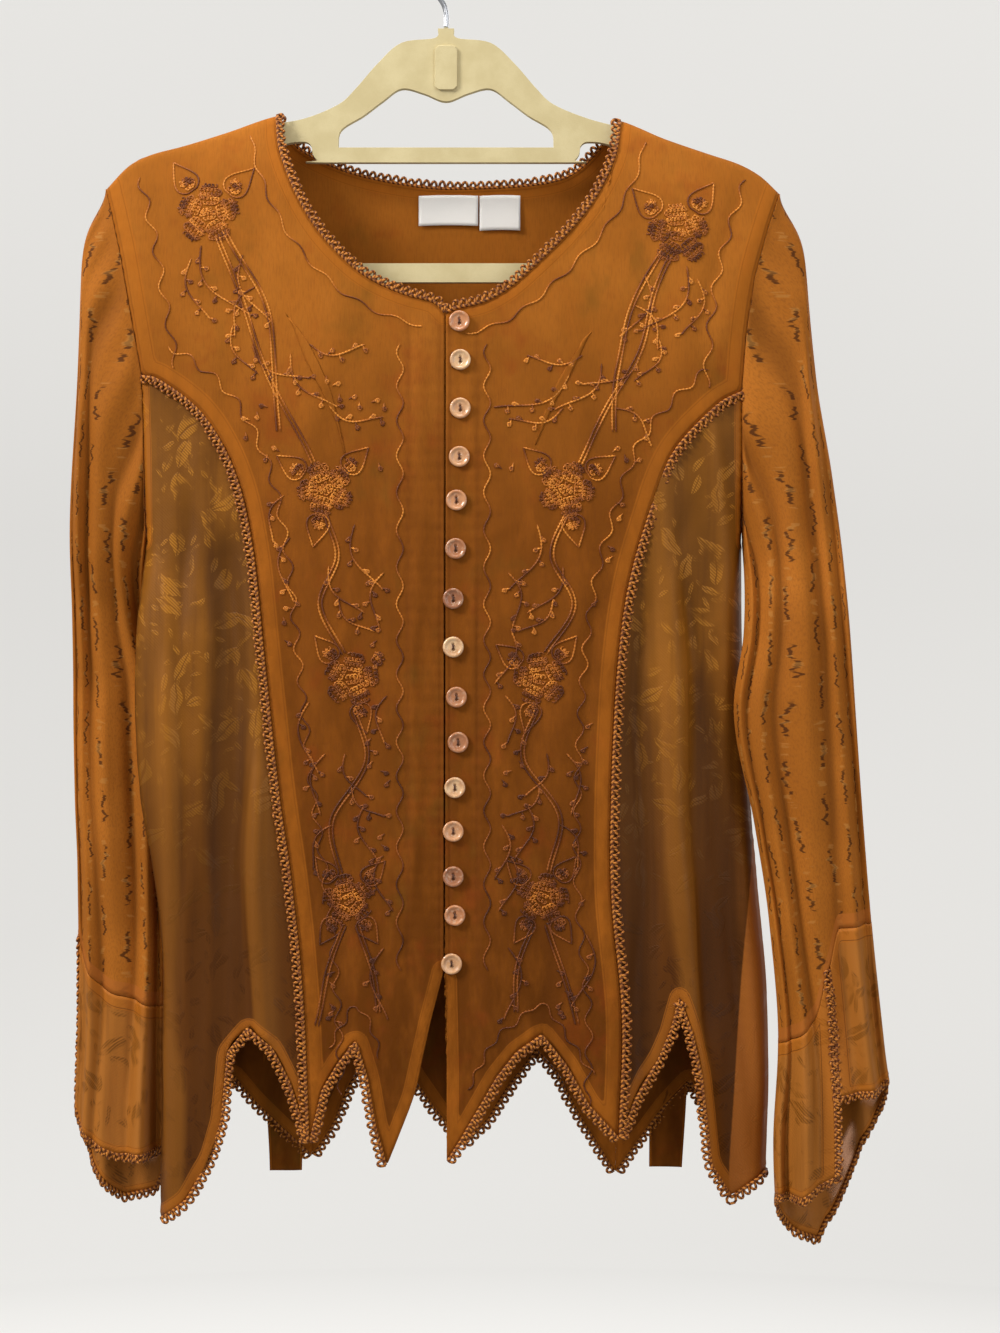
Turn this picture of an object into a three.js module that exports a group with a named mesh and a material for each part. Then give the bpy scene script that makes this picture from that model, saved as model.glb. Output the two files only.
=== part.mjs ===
// Peasant blouse on a hanger. Millimetres, +Z up, the blouse faces -Y.
// The origin is the inner top of the hanger's hook, where a rail carries it.
// Left and right are as seen from the front: left is -X.
import * as THREE from 'three';

// Driving sizes
const WALL = 1.4;
const SEAM = 0.3;
const EASE = SEAM / 2;
const TRIM_WIDTH = 4;
const TRIM_WALL = 1.5;
const BODY_DEPTH = 22;
const SHOULDER_ROUND = 4.8;
const SHOULDER_DROP = 45;
const BULGE_ALONG = 2.6;
const BULGE_ROUND = 2.2;
const BUTTON_DIAMETER = 13;
const BUTTON_THICK = 2.6;
const HANGER_THICK = 5;
const WIRE_DIAMETER = 3.2;
const CUFF_FLARE = 0.09;
const UNDERARM_EASE = 0.5;
const SLEEVE_COLUMNS = 28;
const SLEEVE_GIRTH = 150;
const BRAID_INSET = 0.25;
const PRINCESS_BRAID_SET = 1.2;
const BUTTON_LIFT = 0.5;
const HANGER_CLEAR = 4.2;
const SHOULDER_ROW = 0.16;
const ARM_WIDTH = 14;
const HOOK_INNER = 17;
const TIE_NEAR = 0.8;
const TIE_FAR = 2;
const TIE_TOP = -520;
const TIE_LENGTH = 264;
const TIE_WIDTH = 22;
const TIE_MIDDLES = { left: -104, right: 141 };
const LABEL_NEAR = 0.7;
const LABEL_FAR = 1.6;
const STEM_FOOT = -60;
const TAB_THICK = 1.4;

// Colours
const paint = (color, roughness) => new THREE.MeshStandardMaterial({ color, roughness, metalness: 0 });
const RAYON = paint(0xac672a, 0.8);
const FIGURED = paint(0x7d552d, 0.55);
const SHEER = paint(0xb46e32, 0.7);
const BRAID = paint(0x7a4418, 0.75);
const SHELL = paint(0xd9a577, 0.3);
const LABEL = paint(0xf2f0ec, 0.6);
const VELVET = paint(0xe0d6a6, 0.9);
const STEEL = paint(0xb8bcc0, 0.3);

// Shoulder line, from the left sleeve head over the neck to the right one
const SHOULDER = [
  { x: -240, z: -190 }, { x: -214, z: -161 }, { x: -198, z: -145 }, { x: -185, z: -139 },
  { x: -166, z: -134 }, { x: -137, z: -125 }, { x: -107, z: -115 }, { x: 0, z: -100 },
  { x: 110, z: -118 }, { x: 137, z: -129 }, { x: 166, z: -139 }, { x: 184, z: -145 },
  { x: 197, z: -152 }, { x: 210, z: -164 }, { x: 240, z: -196 },
];

// Outer edges of the flat body at each height. Above the armpits they run on into the sleeves.
const BODY_EDGES = [
  { z: -100, left: -232, right: 230 }, { z: -200, left: -226, right: 222 },
  { z: -280, left: -205, right: 202 }, { z: -340, left: -195, right: 192 },
  { z: -384, left: -188, right: 186.5 }, { z: -440, left: -194, right: 187 },
  { z: -485, left: -195, right: 189 }, { z: -540, left: -192, right: 192 },
  { z: -600, left: -182, right: 197 }, { z: -670, left: -176, right: 203 },
  { z: -720, left: -177, right: 204 }, { z: -785, left: -179, right: 202 },
  { z: -820, left: -179, right: 201 },
];

// Fore and aft place of the side edges: the left one hangs forward, the right one back
const EDGE_SET = [
  { z: -100, left: 0, right: 0 }, { z: -300, left: 0, right: 0 }, { z: -384, left: -4, right: 3 },
  { z: -450, left: -8, right: 6 }, { z: -820, left: -8, right: 6 },
];

const ARMHOLE = {
  left: [
    { z: -161, x: -214 }, { z: -180, x: -209 }, { z: -206, x: -203 },
    { z: -240, x: -197 }, { z: -280, x: -190 }, { z: -330, x: -188.5 }, { z: -384, x: -188 },
  ],
  right: [
    { z: -164, x: 210 }, { z: -187, x: 202 }, { z: -219, x: 193 },
    { z: -251, x: 188 }, { z: -290, x: 185 }, { z: -330, x: 185.5 }, { z: -384, x: 186.5 },
  ],
};
const ARMPIT_Z = -384;

// Princess seams, from the armhole to the hem, shared by front and back
const PRINCESS = {
  left: [
    { x: -190, z: -280 }, { x: -177, z: -284 }, { x: -150, z: -306 }, { x: -130, z: -343 },
    { x: -119, z: -391 }, { x: -112, z: -455 }, { x: -103, z: -539 }, { x: -95, z: -596 },
    { x: -88, z: -666 }, { x: -84, z: -756 },
  ],
  right: [
    { x: 185, z: -290 }, { x: 168, z: -300 }, { x: 141, z: -330 }, { x: 125, z: -372 },
    { x: 112, z: -423 }, { x: 105, z: -496 }, { x: 103, z: -596 }, { x: 110, z: -680 },
    { x: 108, z: -755 },
  ],
};
const PRINCESS_STOPS = 16;
const TURN_STOPS = 3;

const NECK = {
  left: [
    { x: -107, z: -115 }, { x: -106.5, z: -119.5 }, { x: -104, z: -139 }, { x: -94, z: -166 },
    { x: -80, z: -190 }, { x: -62, z: -210 }, { x: -46, z: -222 }, { x: -26, z: -231 },
    { x: -8, z: -236 }, { x: -0.5, z: -243 },
  ],
  right: [
    { x: 0.5, z: -243 }, { x: 8, z: -240 }, { x: 24, z: -236 }, { x: 40, z: -227 }, { x: 57, z: -212 },
    { x: 73, z: -196 }, { x: 89, z: -177 }, { x: 100, z: -158 }, { x: 107, z: -140 },
    { x: 109.5, z: -122.5 }, { x: 110, z: -118 },
  ],
  back: [
    { x: -107, z: -115 }, { x: -104.5, z: -119.5 }, { x: -93, z: -134 }, { x: -60, z: -148 },
    { x: -17, z: -156 }, { x: 18, z: -157 }, { x: 63, z: -154 }, { x: 86, z: -145 },
    { x: 107, z: -122.5 }, { x: 110, z: -118 },
  ],
};

// Handkerchief hems: tips and notches
const HEM = {
  sideLeft: [
    { x: -178, z: -806 }, { x: -161, z: -793 }, { x: -147, z: -768 }, { x: -139, z: -744 },
    { x: -135, z: -701 }, { x: -122, z: -685 }, { x: -107, z: -697 }, { x: -96, z: -719 },
    { x: -84, z: -756 },
  ],
  frontLeft: [
    { x: -84, z: -756 }, { x: -76, z: -724 }, { x: -66, z: -707 }, { x: -55, z: -693 }, { x: -48, z: -716 },
    { x: -43, z: -745 }, { x: -36, z: -771 }, { x: -28, z: -751 }, { x: -19, z: -727 }, { x: -9, z: -682 },
    { x: -1, z: -651 },
  ],
  frontRight: [
    { x: 0, z: -656 }, { x: 1, z: -705 }, { x: 1, z: -768 }, { x: 9, z: -756 }, { x: 20, z: -737 },
    { x: 32, z: -716 }, { x: 44, z: -701 }, { x: 60, z: -690 }, { x: 75, z: -709 }, { x: 89, z: -734 },
    { x: 108, z: -755 },
  ],
  sideRight: [
    { x: 108, z: -755 }, { x: 118, z: -731 }, { x: 132, z: -708 }, { x: 140, z: -690 }, { x: 146, z: -668 },
    { x: 154, z: -690 }, { x: 160, z: -718 }, { x: 166, z: -772 }, { x: 179, z: -794 }, { x: 202, z: -779 },
  ],
  sideBackLeft: [
    { x: -178, z: -806 }, { x: -161, z: -781 }, { x: -145, z: -735 }, { x: -136, z: -722 },
    { x: -122, z: -739 }, { x: -105, z: -756 }, { x: -86, z: -774 },
  ],
  backCentre: [
    { x: -86, z: -774 }, { x: -74, z: -756 }, { x: -62, z: -728 }, { x: -48, z: -708 }, { x: -36, z: -702 },
    { x: -20, z: -728 }, { x: -6, z: -748 }, { x: 11, z: -767 }, { x: 26, z: -752 }, { x: 40, z: -730 },
    { x: 57, z: -707 }, { x: 70, z: -721 }, { x: 86, z: -751 }, { x: 108, z: -786 },
  ],
  sideBackRight: [
    { x: 108, z: -786 }, { x: 122, z: -767 }, { x: 140, z: -744 }, { x: 156, z: -726 },
    { x: 170, z: -752 }, { x: 184, z: -780 }, { x: 202, z: -779 },
  ],
};

const BACK_SIDE_HEMS = { left: HEM.sideBackLeft, right: HEM.sideBackRight };

// Soft folds: x at mid length, lean in mm per mm of drop, half width, height of ridge, top and foot
const FRONT_FOLDS = [
  { x: -168, lean: 0.02, wide: 11, rise: 4.0, top: -400, foot: -800 },
  { x: -142, lean: -0.04, wide: 13, rise: -4.5, top: -350, foot: -790 },
  { x: -116, lean: 0.03, wide: 11, rise: 3.5, top: -480, foot: -740 },
  { x: -60, lean: 0.04, wide: 18, rise: 2.5, top: -560, foot: -800 },
  { x: 40, lean: -0.03, wide: 18, rise: 2.0, top: -580, foot: -800 },
  { x: 124, lean: 0.06, wide: 12, rise: -4.0, top: -420, foot: -780 },
  { x: 150, lean: 0.07, wide: 11, rise: 4.5, top: -360, foot: -790 },
  { x: 174, lean: 0.05, wide: 10, rise: -3.5, top: -420, foot: -800 },
];
const BACK_FOLDS = [
  { x: -150, lean: 0.02, wide: 14, rise: 4.0, top: -420, foot: -800 },
  { x: -60, lean: 0.02, wide: 20, rise: -3.5, top: -380, foot: -800 },
  { x: -10, lean: 0.01, wide: 18, rise: 3.5, top: -420, foot: -800 },
  { x: 50, lean: -0.01, wide: 20, rise: -3.0, top: -380, foot: -800 },
  { x: 130, lean: 0.04, wide: 14, rise: 4.0, top: -400, foot: -800 },
];

// Sleeve rings at each height: flat edges, fore and aft middle, half depth
const SLEEVE_RINGS = {
  left: [
    { z: -150, inner: -200, outer: -227, middle: 0, depth: 14 },
    { z: -200, inner: -198, outer: -229, middle: 0, depth: 16 },
    { z: -280, inner: -194, outer: -232, middle: 0, depth: 16 },
    { z: -386, inner: -194, outer: -238, middle: 6, depth: 14 },
    { z: -430, inner: -190, outer: -238, middle: 14, depth: 12 },
    { z: -480, inner: -178, outer: -238, middle: 18, depth: 12 },
    { z: -546, inner: -184, outer: -237, middle: 18, depth: 12 },
    { z: -590, inner: -190, outer: -235, middle: 14, depth: 12 },
    { z: -675, inner: -191, outer: -234, middle: 10, depth: 13 },
    { z: -760, inner: -189, outer: -236, middle: 9, depth: 15 },
    { z: -830, inner: -186, outer: -236, middle: 9, depth: 16 },
  ],
  right: [
    { z: -150, inner: 198, outer: 224, middle: 0, depth: 14 },
    { z: -200, inner: 196, outer: 226, middle: 0, depth: 16 },
    { z: -280, inner: 190, outer: 233, middle: 0, depth: 16 },
    { z: -343, inner: 189, outer: 243, middle: -2, depth: 15 },
    { z: -395, inner: 190, outer: 249, middle: -8, depth: 14 },
    { z: -440, inner: 187, outer: 252, middle: -17, depth: 12 },
    { z: -488, inner: 180, outer: 255, middle: -19, depth: 12 },
    { z: -561, inner: 193, outer: 260, middle: -19, depth: 13 },
    { z: -620, inner: 202, outer: 265, middle: -18, depth: 13 },
    { z: -697, inner: 208, outer: 273, middle: -17, depth: 15 },
    { z: -760, inner: 205, outer: 280, middle: -17, depth: 17 },
    { z: -830, inner: 208, outer: 276, middle: -17, depth: 17 },
  ],
};

// Round the sleeve: 0 is the inner edge, a quarter the front, a half the outer edge
const CUFFS = {
  left: {
    slit: 0.5,
    seam: [
      { round: 0, z: -675 }, { round: 0.12, z: -677 }, { round: 0.25, z: -670 }, { round: 0.36, z: -656 },
      { round: 0.44, z: -638 }, { round: 0.5, z: -629 }, { round: 0.56, z: -638 },
      { round: 0.64, z: -656 }, { round: 0.78, z: -670 }, { round: 1, z: -675 },
    ],
    hem: [
      { round: 0, z: -762 }, { round: 0.12, z: -767 }, { round: 0.25, z: -769 }, { round: 0.36, z: -757 },
      { round: 0.44, z: -743 }, { round: 0.5, z: -732 }, { round: 0.56, z: -752 }, { round: 0.64, z: -780 },
      { round: 0.75, z: -801 }, { round: 0.86, z: -796 }, { round: 1, z: -762 },
    ],
  },
  right: {
    slit: 0.25,
    seam: [
      { round: 0, z: -697 }, { round: 0.12, z: -693 }, { round: 0.21, z: -681 }, { round: 0.29, z: -624 },
      { round: 0.5, z: -621 }, { round: 0.62, z: -634 }, { round: 0.8, z: -676 }, { round: 1, z: -697 },
    ],
    hem: [
      { round: 0, z: -790 }, { round: 0.08, z: -788 }, { round: 0.16, z: -789 }, { round: 0.249, z: -776 },
      { round: 0.251, z: -727 }, { round: 0.4, z: -720 }, { round: 0.5, z: -713 }, { round: 0.6, z: -738 },
      { round: 0.68, z: -758 }, { round: 0.77, z: -822 }, { round: 0.86, z: -814 }, { round: 1, z: -790 },
    ],
  },
};

const BUTTONS = [
  { x: 8.8, z: -248 }, { x: 9.4, z: -272 }, { x: 9.4, z: -302 }, { x: 8.8, z: -332 }, { x: 7, z: -359 },
  { x: 6.5, z: -389 }, { x: 5, z: -420 }, { x: 5, z: -450 }, { x: 7, z: -481 }, { x: 8, z: -509 },
  { x: 6, z: -537 }, { x: 5, z: -564 }, { x: 5, z: -592 }, { x: 6, z: -616 }, { x: 4, z: -646 },
];

// Smooth curve through a table
function tableCurve(rows, key, column) {
  const sorted = [...rows].sort((a, b) => a[key] - b[key]);
  const xs = sorted.map((row) => row[key]);
  const ys = sorted.map((row) => row[column]);
  const last = xs.length - 1;
  const rise = xs.slice(1).map((x, i) => (ys[i + 1] - ys[i]) / (x - xs[i]));
  const slope = xs.map((_, i) => {
    if (i === 0) return rise[0];
    if (i === last) return rise[last - 1];
    const before = rise[i - 1];
    const after = rise[i];
    return before * after > 0 ? 2 * before * after / (before + after) : 0;
  });
  return (at) => {
    const x = Math.min(Math.max(at, xs[0]), xs[last]);
    let i = 0;
    while (i < last - 1 && x > xs[i + 1]) i += 1;
    const span = xs[i + 1] - xs[i];
    const t = (x - xs[i]) / span;
    const a = ys[i] * (1 + 2 * t) * (1 - t) ** 2 + slope[i] * span * t * (1 - t) ** 2;
    const b = ys[i + 1] * t * t * (3 - 2 * t) + slope[i + 1] * span * t * t * (t - 1);
    return a + b;
  };
}

// Straight-line reading of a table whose corners stay sharp
function cornerCurve(rows, key, column) {
  return (at) => {
    let i = 0;
    while (i < rows.length - 2 && at > rows[i + 1][key]) i += 1;
    const t = (at - rows[i][key]) / (rows[i + 1][key] - rows[i][key]);
    return rows[i][column] + (rows[i + 1][column] - rows[i][column]) * Math.min(Math.max(t, 0), 1);
  };
}

const smooth = (low, high, at) => {
  const t = Math.min(Math.max((at - low) / (high - low), 0), 1);
  return t * t * (3 - 2 * t);
};

// Body surface: fore and aft place of the outer face at x and z
const shoulderLine = tableCurve(SHOULDER, 'x', 'z');
const edgeLeft = tableCurve(BODY_EDGES, 'z', 'left');
const edgeRight = tableCurve(BODY_EDGES, 'z', 'right');
const setLeft = tableCurve(EDGE_SET, 'z', 'left');
const setRight = tableCurve(EDGE_SET, 'z', 'right');

function midPlane(x, z) {
  const t = (x - edgeLeft(z)) / (edgeRight(z) - edgeLeft(z));
  return setLeft(z) + (setRight(z) - setLeft(z)) * Math.min(Math.max(t, 0), 1);
}

function foldHeight(folds, x, z) {
  let height = 0;
  for (const fold of folds) {
    const centre = fold.x + fold.lean * ((fold.top + fold.foot) / 2 - z);
    const along = smooth(fold.top, fold.top - 90, z);
    height += fold.rise * along * Math.exp(-(((x - centre) / fold.wide) ** 2));
  }
  return height;
}

function bodyDepth(x, z, folds) {
  const left = edgeLeft(z);
  const right = edgeRight(z);
  const t = Math.min(Math.abs((2 * x - left - right) / (right - left)), 1);
  const bulge = (1 - t ** BULGE_ALONG) ** (1 / BULGE_ROUND);
  const drop = Math.max(shoulderLine(x) - z, 0);
  const rounding = Math.min(drop / SHOULDER_ROUND, 1);
  const over = SHOULDER_ROUND * Math.sqrt(1 - (1 - rounding) ** 2) * Math.min(bulge * 3, 1);
  const hang = BODY_DEPTH * bulge * (1 - Math.exp(-drop / SHOULDER_DROP));
  const crease = foldHeight(folds, x, z) * Math.min(bulge * 1.5, 1) * smooth(0, 60, drop);
  return Math.max(over + hang + crease, 0);
}

const FRONT = { facing: -1, folds: FRONT_FOLDS };
const BACK = { facing: 1, folds: BACK_FOLDS };

function bodyPlace(face, x, z) {
  return midPlane(x, z) + face.facing * (EASE + bodyDepth(x, z, face.folds));
}

function bodyNormal(face, x, z) {
  const step = 0.6;
  const slopeX = (bodyPlace(face, x + step, z) - bodyPlace(face, x - step, z)) / (2 * step);
  const slopeZ = (bodyPlace(face, x, z + step) - bodyPlace(face, x, z - step)) / (2 * step);
  const normal = new THREE.Vector3(slopeX, -1, slopeZ).multiplyScalar(-face.facing);
  return normal.normalize();
}

// A point of the body's outer face, moved out by some distance
function bodyPoint(face, x, z, out = 0) {
  const point = new THREE.Vector3(x, bodyPlace(face, x, z), z);
  point.addScaledVector(bodyNormal(face, x, z), out);
  const limit = midPlane(x, z) + face.facing * EASE;
  point.y = face.facing < 0 ? Math.min(point.y, limit) : Math.max(point.y, limit);
  return point;
}

// Closed wall between an outer and an inner grid of points
function closedWall(outer, inner, wraps = false) {
  const rows = outer.length;
  const columns = outer[0].length;
  const positions = [];
  for (const grid of [outer, inner]) {
    for (const row of grid) {
      for (const point of row) positions.push(point.x, point.y, point.z);
    }
  }
  const shift = rows * columns;
  const at = (row, column) => row * columns + (column % columns);
  const index = [];
  const quad = (a, b, c, d) => index.push(a, b, c, a, c, d);
  const spans = wraps ? columns : columns - 1;
  for (let row = 0; row < rows - 1; row += 1) {
    for (let column = 0; column < spans; column += 1) {
      const corners = [at(row, column), at(row + 1, column), at(row + 1, column + 1), at(row, column + 1)];
      quad(...corners);
      quad(...corners.reverse().map((corner) => corner + shift));
    }
  }
  for (let column = 0; column < spans; column += 1) {
    const [a, b] = [at(0, column), at(0, column + 1)];
    quad(a, b, b + shift, a + shift);
    const [c, d] = [at(rows - 1, column), at(rows - 1, column + 1)];
    quad(d, c, c + shift, d + shift);
  }
  for (let row = 0; row < rows - 1 && !wraps; row += 1) {
    const [a, b] = [at(row, 0), at(row + 1, 0)];
    quad(b, a, a + shift, b + shift);
    const [c, d] = [at(row, columns - 1), at(row + 1, columns - 1)];
    quad(c, d, d + shift, c + shift);
  }
  const geometry = new THREE.BufferGeometry();
  geometry.setAttribute('position', new THREE.Float32BufferAttribute(positions, 3));
  geometry.setIndex(index);
  return outward(geometry);
}

// Turns a closed surface so that its faces point out
function outward(geometry) {
  const position = geometry.attributes.position;
  const index = geometry.index.array;
  const [a, b, c] = [new THREE.Vector3(), new THREE.Vector3(), new THREE.Vector3()];
  let volume = 0;
  for (let i = 0; i < index.length; i += 3) {
    a.fromBufferAttribute(position, index[i]);
    b.fromBufferAttribute(position, index[i + 1]);
    c.fromBufferAttribute(position, index[i + 2]);
    volume += a.dot(b.cross(c));
  }
  if (volume < 0) {
    for (let i = 0; i < index.length; i += 3) {
      [index[i + 1], index[i + 2]] = [index[i + 2], index[i + 1]];
    }
  }
  geometry.computeVertexNormals();
  return geometry;
}

// Even rows, with one more just under the shoulder where the cloth turns over the hanger
const rowsUnderShoulder = (count) => [0, SHOULDER_ROW / count, ...steps(count).slice(1)];
const steps = (count) => Array.from({ length: count + 1 }, (_, i) => i / count);
const toPoints = (rows) => rows.map((row) => new THREE.Vector2(row.x, row.z));

// Curves in the plane of the body, read from 0 to 1 along their length
function softPath(rows) {
  const spline = new THREE.SplineCurve(toPoints(rows));
  return (t) => spline.getPointAt(Math.min(Math.max(t, 0), 1));
}

// Panel spanned between four edge curves, with its corners shared
function panelPoint(edges, s, t) {
  const { top, bottom, left, right } = edges;
  const point = left(t).multiplyScalar(1 - s).add(right(t).multiplyScalar(s));
  point.add(top(s).multiplyScalar(1 - t)).add(bottom(s).multiplyScalar(t));
  point.addScaledVector(top(0), -(1 - s) * (1 - t)).addScaledVector(top(1), -s * (1 - t));
  point.addScaledVector(bottom(0), -(1 - s) * t).addScaledVector(bottom(1), -s * t);
  return point;
}

function panelWall(face, edges, across, down, seams) {
  const plan = down.map((t) => across.map((s) => panelPoint(edges, s, t)));
  const last = across.length - 1;
  for (const row of plan) {
    const fromLeft = row[1].clone().sub(row[0]).normalize();
    const fromRight = row[last - 1].clone().sub(row[last]).normalize();
    if (seams.left) row[0].addScaledVector(fromLeft, EASE);
    if (seams.right) row[last].addScaledVector(fromRight, EASE);
  }
  if (seams.top) {
    plan[0].forEach((point, column) => {
      const below = plan[1][column].clone().sub(point).normalize();
      point.addScaledVector(below, EASE);
    });
  }
  const lift = (out) => plan.map((row) => row.map((p) => bodyPoint(face, p.x, p.y, out)));
  const outer = lift(0);
  const inner = lift(-WALL);
  if (seams.shoulder) {
    inner[0].forEach((point, column) => {
      const drop = shoulderLine(plan[0][column].x) - plan[0][column].y;
      if (drop < 1) {
        point.copy(outer[0][column]);
        point.z -= WALL;
      }
    });
  }
  const wall = closedWall(outer, inner);
  wall.userData = { plan, outer };
  return wall;
}

// Piecewise path through points at even stops, so that neighbours share each seam's points
function stopPath(rows) {
  const points = toPoints(rows);
  return (t) => {
    const place = Math.min(Math.max(t, 0), 1) * (points.length - 1);
    const i = Math.min(Math.floor(place), points.length - 2);
    return points[i].clone().lerp(points[i + 1], place - i);
  };
}

// Adds mid points to the longest spans of a row list, without changing its line
function filledTo(rows, count) {
  const filled = [...rows];
  while (filled.length < count) {
    const spans = filled.slice(1).map((row, i) => Math.hypot(row.x - filled[i].x, row.z - filled[i].z));
    const i = spans.indexOf(Math.max(...spans));
    const [a, b] = [filled[i], filled[i + 1]];
    filled.splice(i + 1, 0, { x: (a.x + b.x) / 2, z: (a.z + b.z) / 2 });
  }
  return filled;
}

const rowOf = (point) => ({ x: point.x, z: point.y });
const hemFoot = (side, rows) => (side === 'left' ? rows[rows.length - 1] : rows[0]);

function princessStops(side, face) {
  const rows = face === FRONT
    ? PRINCESS[side]
    : [...PRINCESS[side].slice(0, -1), hemFoot(side, BACK_SIDE_HEMS[side])];
  const path = softPath(rows);
  return steps(PRINCESS_STOPS).map((t) => rowOf(path(t)));
}

function sideStops(side, foot) {
  const edge = side === 'left' ? edgeLeft : edgeRight;
  const armhole = [princessStops(side, FRONT)[0], ...ARMHOLE[side].filter((row) => row.z < -300)];
  const spans = PRINCESS_STOPS - TURN_STOPS - armhole.length + 1;
  const below = steps(spans).slice(1).map((t) => {
    const z = ARMPIT_Z + (foot.z - ARMPIT_Z) * t;
    return { x: edge(z), z };
  });
  below[below.length - 1] = foot;
  return [...armhole, ...below];
}

const armholeAbove = (side) => ARMHOLE[side].filter((row) => row.z > -275);
const shoulderRows = (from, to) => SHOULDER.filter((row) => row.x > from && row.x < to);

const blouse = new THREE.Group();

function addPiece(name, geometry, material) {
  const mesh = new THREE.Mesh(geometry, material);
  mesh.name = name;
  blouse.add(mesh);
  return mesh;
}

// Centre fronts: shoulder and neck on top, armhole and princess seam outside, hem below
function centreFront(side) {
  const isLeft = side === 'left';
  const seam = stopPath([...armholeAbove(side), ...princessStops(side, FRONT)]);
  const neck = isLeft
    ? [...shoulderRows(-215, -108), ...NECK.left]
    : [...NECK.right, ...shoulderRows(111, 211)];
  const hem = filledTo(HEM[isLeft ? 'frontLeft' : 'frontRight'], neck.length);
  const foot = isLeft ? hem[hem.length - 1] : hem[0];
  const head = isLeft ? NECK.left[NECK.left.length - 1] : NECK.right[0];
  const centre = stopPath([head, foot]);
  const edges = {
    top: stopPath(neck), bottom: stopPath(hem), left: isLeft ? seam : centre, right: isLeft ? centre : seam,
  };
  const rows = armholeAbove(side).length + PRINCESS_STOPS;
  const seams = { left: true, right: true, shoulder: true };
  return panelWall(FRONT, edges, steps(neck.length - 1), rowsUnderShoulder(rows), seams);
}

// Side fronts and side backs, from the princess seam round to the side seam
function sidePanel(side, face, hem) {
  const isLeft = side === 'left';
  const stops = princessStops(side, face);
  const foot = isLeft ? hem[0] : hem[hem.length - 1];
  const outer = stopPath(sideStops(side, foot));
  const inner = stopPath(stops.slice(TURN_STOPS));
  const over = stops.slice(0, TURN_STOPS + 1);
  const top = stopPath(isLeft ? over : over.reverse());
  const edges = { top, bottom: stopPath(hem), left: isLeft ? outer : inner, right: isLeft ? inner : outer };
  const rows = PRINCESS_STOPS - TURN_STOPS;
  return panelWall(face, edges, steps(hem.length - 1), steps(rows), { left: !isLeft, right: isLeft, top: true });
}

function centreBack() {
  const seam = (side) => stopPath([...armholeAbove(side), ...princessStops(side, BACK)]);
  const neck = [...shoulderRows(-215, -108), ...NECK.back, ...shoulderRows(111, 211)];
  const hem = filledTo(HEM.backCentre, neck.length);
  const edges = { top: stopPath(neck), bottom: stopPath(hem), left: seam('left'), right: seam('right') };
  const rows = armholeAbove('left').length + PRINCESS_STOPS;
  const across = steps(neck.length - 1);
  const seams = { left: true, right: true, shoulder: true };
  return panelWall(BACK, edges, across, rowsUnderShoulder(rows), seams);
}

// Sleeves: each line runs down from its place on the armhole into a hanging flat tube
function sleeveShape(side) {
  const rows = SLEEVE_RINGS[side];
  const ring = {
    inner: tableCurve(rows, 'z', 'inner'),
    outer: tableCurve(rows, 'z', 'outer'),
    middle: tableCurve(rows, 'z', 'middle'),
    depth: tableCurve(rows, 'z', 'depth'),
  };
  const armholeX = cornerCurve([...ARMHOLE[side]].reverse(), 'z', 'x');
  const out = side === 'left' ? -1 : 1;
  const topZ = ARMHOLE[side][0].z;
  const seamZ = tableCurve(CUFFS[side].seam, 'round', 'z');
  const rounded = (value, power) => Math.sign(value) * Math.abs(value) ** power;

  const hanging = (round, z) => {
    const turn = 2 * Math.PI * round;
    const centre = (ring.inner(z) + ring.outer(z)) / 2;
    const reach = Math.abs(ring.outer(z) - ring.inner(z)) / 2;
    const wave = 1 + 0.16 * Math.sin(5 * turn + z / 70) * smooth(ARMPIT_Z + 120, ARMPIT_Z - 40, z);
    const x = centre - out * reach * rounded(Math.cos(turn), 2 / BULGE_ALONG);
    const y = ring.middle(z) - ring.depth(z) * wave * rounded(Math.sin(turn), 2 / BULGE_ROUND);
    return { x, y };
  };

  const loopPoint = (round) => {
    const climb = (1 - Math.cos(2 * Math.PI * round)) / 2;
    const z = ARMPIT_Z + (topZ - ARMPIT_Z) * climb;
    const face = round <= 0.5 ? FRONT : BACK;
    const x = armholeX(z);
    return { x: x + out * (EASE + UNDERARM_EASE * (1 - climb)), y: bodyPlace(face, x, z), z };
  };

  const point = (round, z) => {
    const start = loopPoint(round);
    const drop = Math.max(start.z - z, 0);
    const here = hanging(round, z);
    const there = hanging(round, start.z);
    const holdX = Math.exp(-((drop / (22 + 11 * (1 + Math.cos(2 * Math.PI * round)))) ** 2));
    const holdY = Math.exp(-drop / 14);
    const seam = seamZ(round);
    const flare = 1 + CUFF_FLARE * smooth(seam, seam - 90, z);
    const ruffle = 2.2 * smooth(seam, seam - 60, z) * Math.sin(14 * Math.PI * round);
    const middle = ring.middle(z);
    const y = here.y + (start.y - there.y) * holdY;
    return new THREE.Vector3(
      here.x + (start.x - there.x) * holdX,
      middle + (y - middle) * flare + ruffle * Math.sign(y - middle) * Math.min(Math.abs(y - middle) / 4, 1),
      z,
    );
  };
  return { point, loopPoint, seamZ };
}

const SHAPES = { left: sleeveShape('left'), right: sleeveShape('right') };

// Normals of a grid. Rows that meet another piece take level ones, which both pieces share.
function gridNormals(grid, wraps, levelRows) {
  const rows = grid.length;
  const columns = grid[0].length;
  const wrap = (column) => (wraps ? (column + columns) % columns : Math.min(Math.max(column, 0), columns - 1));
  const plumb = new THREE.Vector3(0, 0, -1);
  return grid.map((row, r) => row.map((_, c) => {
    const across = row[wrap(c + 1)].clone().sub(row[wrap(c - 1)]);
    if (levelRows.includes(r)) return across.setZ(0).cross(plumb).normalize();
    const down = grid[Math.min(r + 1, rows - 1)][c].clone().sub(grid[Math.max(r - 1, 0)][c]);
    return across.cross(down).normalize();
  }));
}

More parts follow.
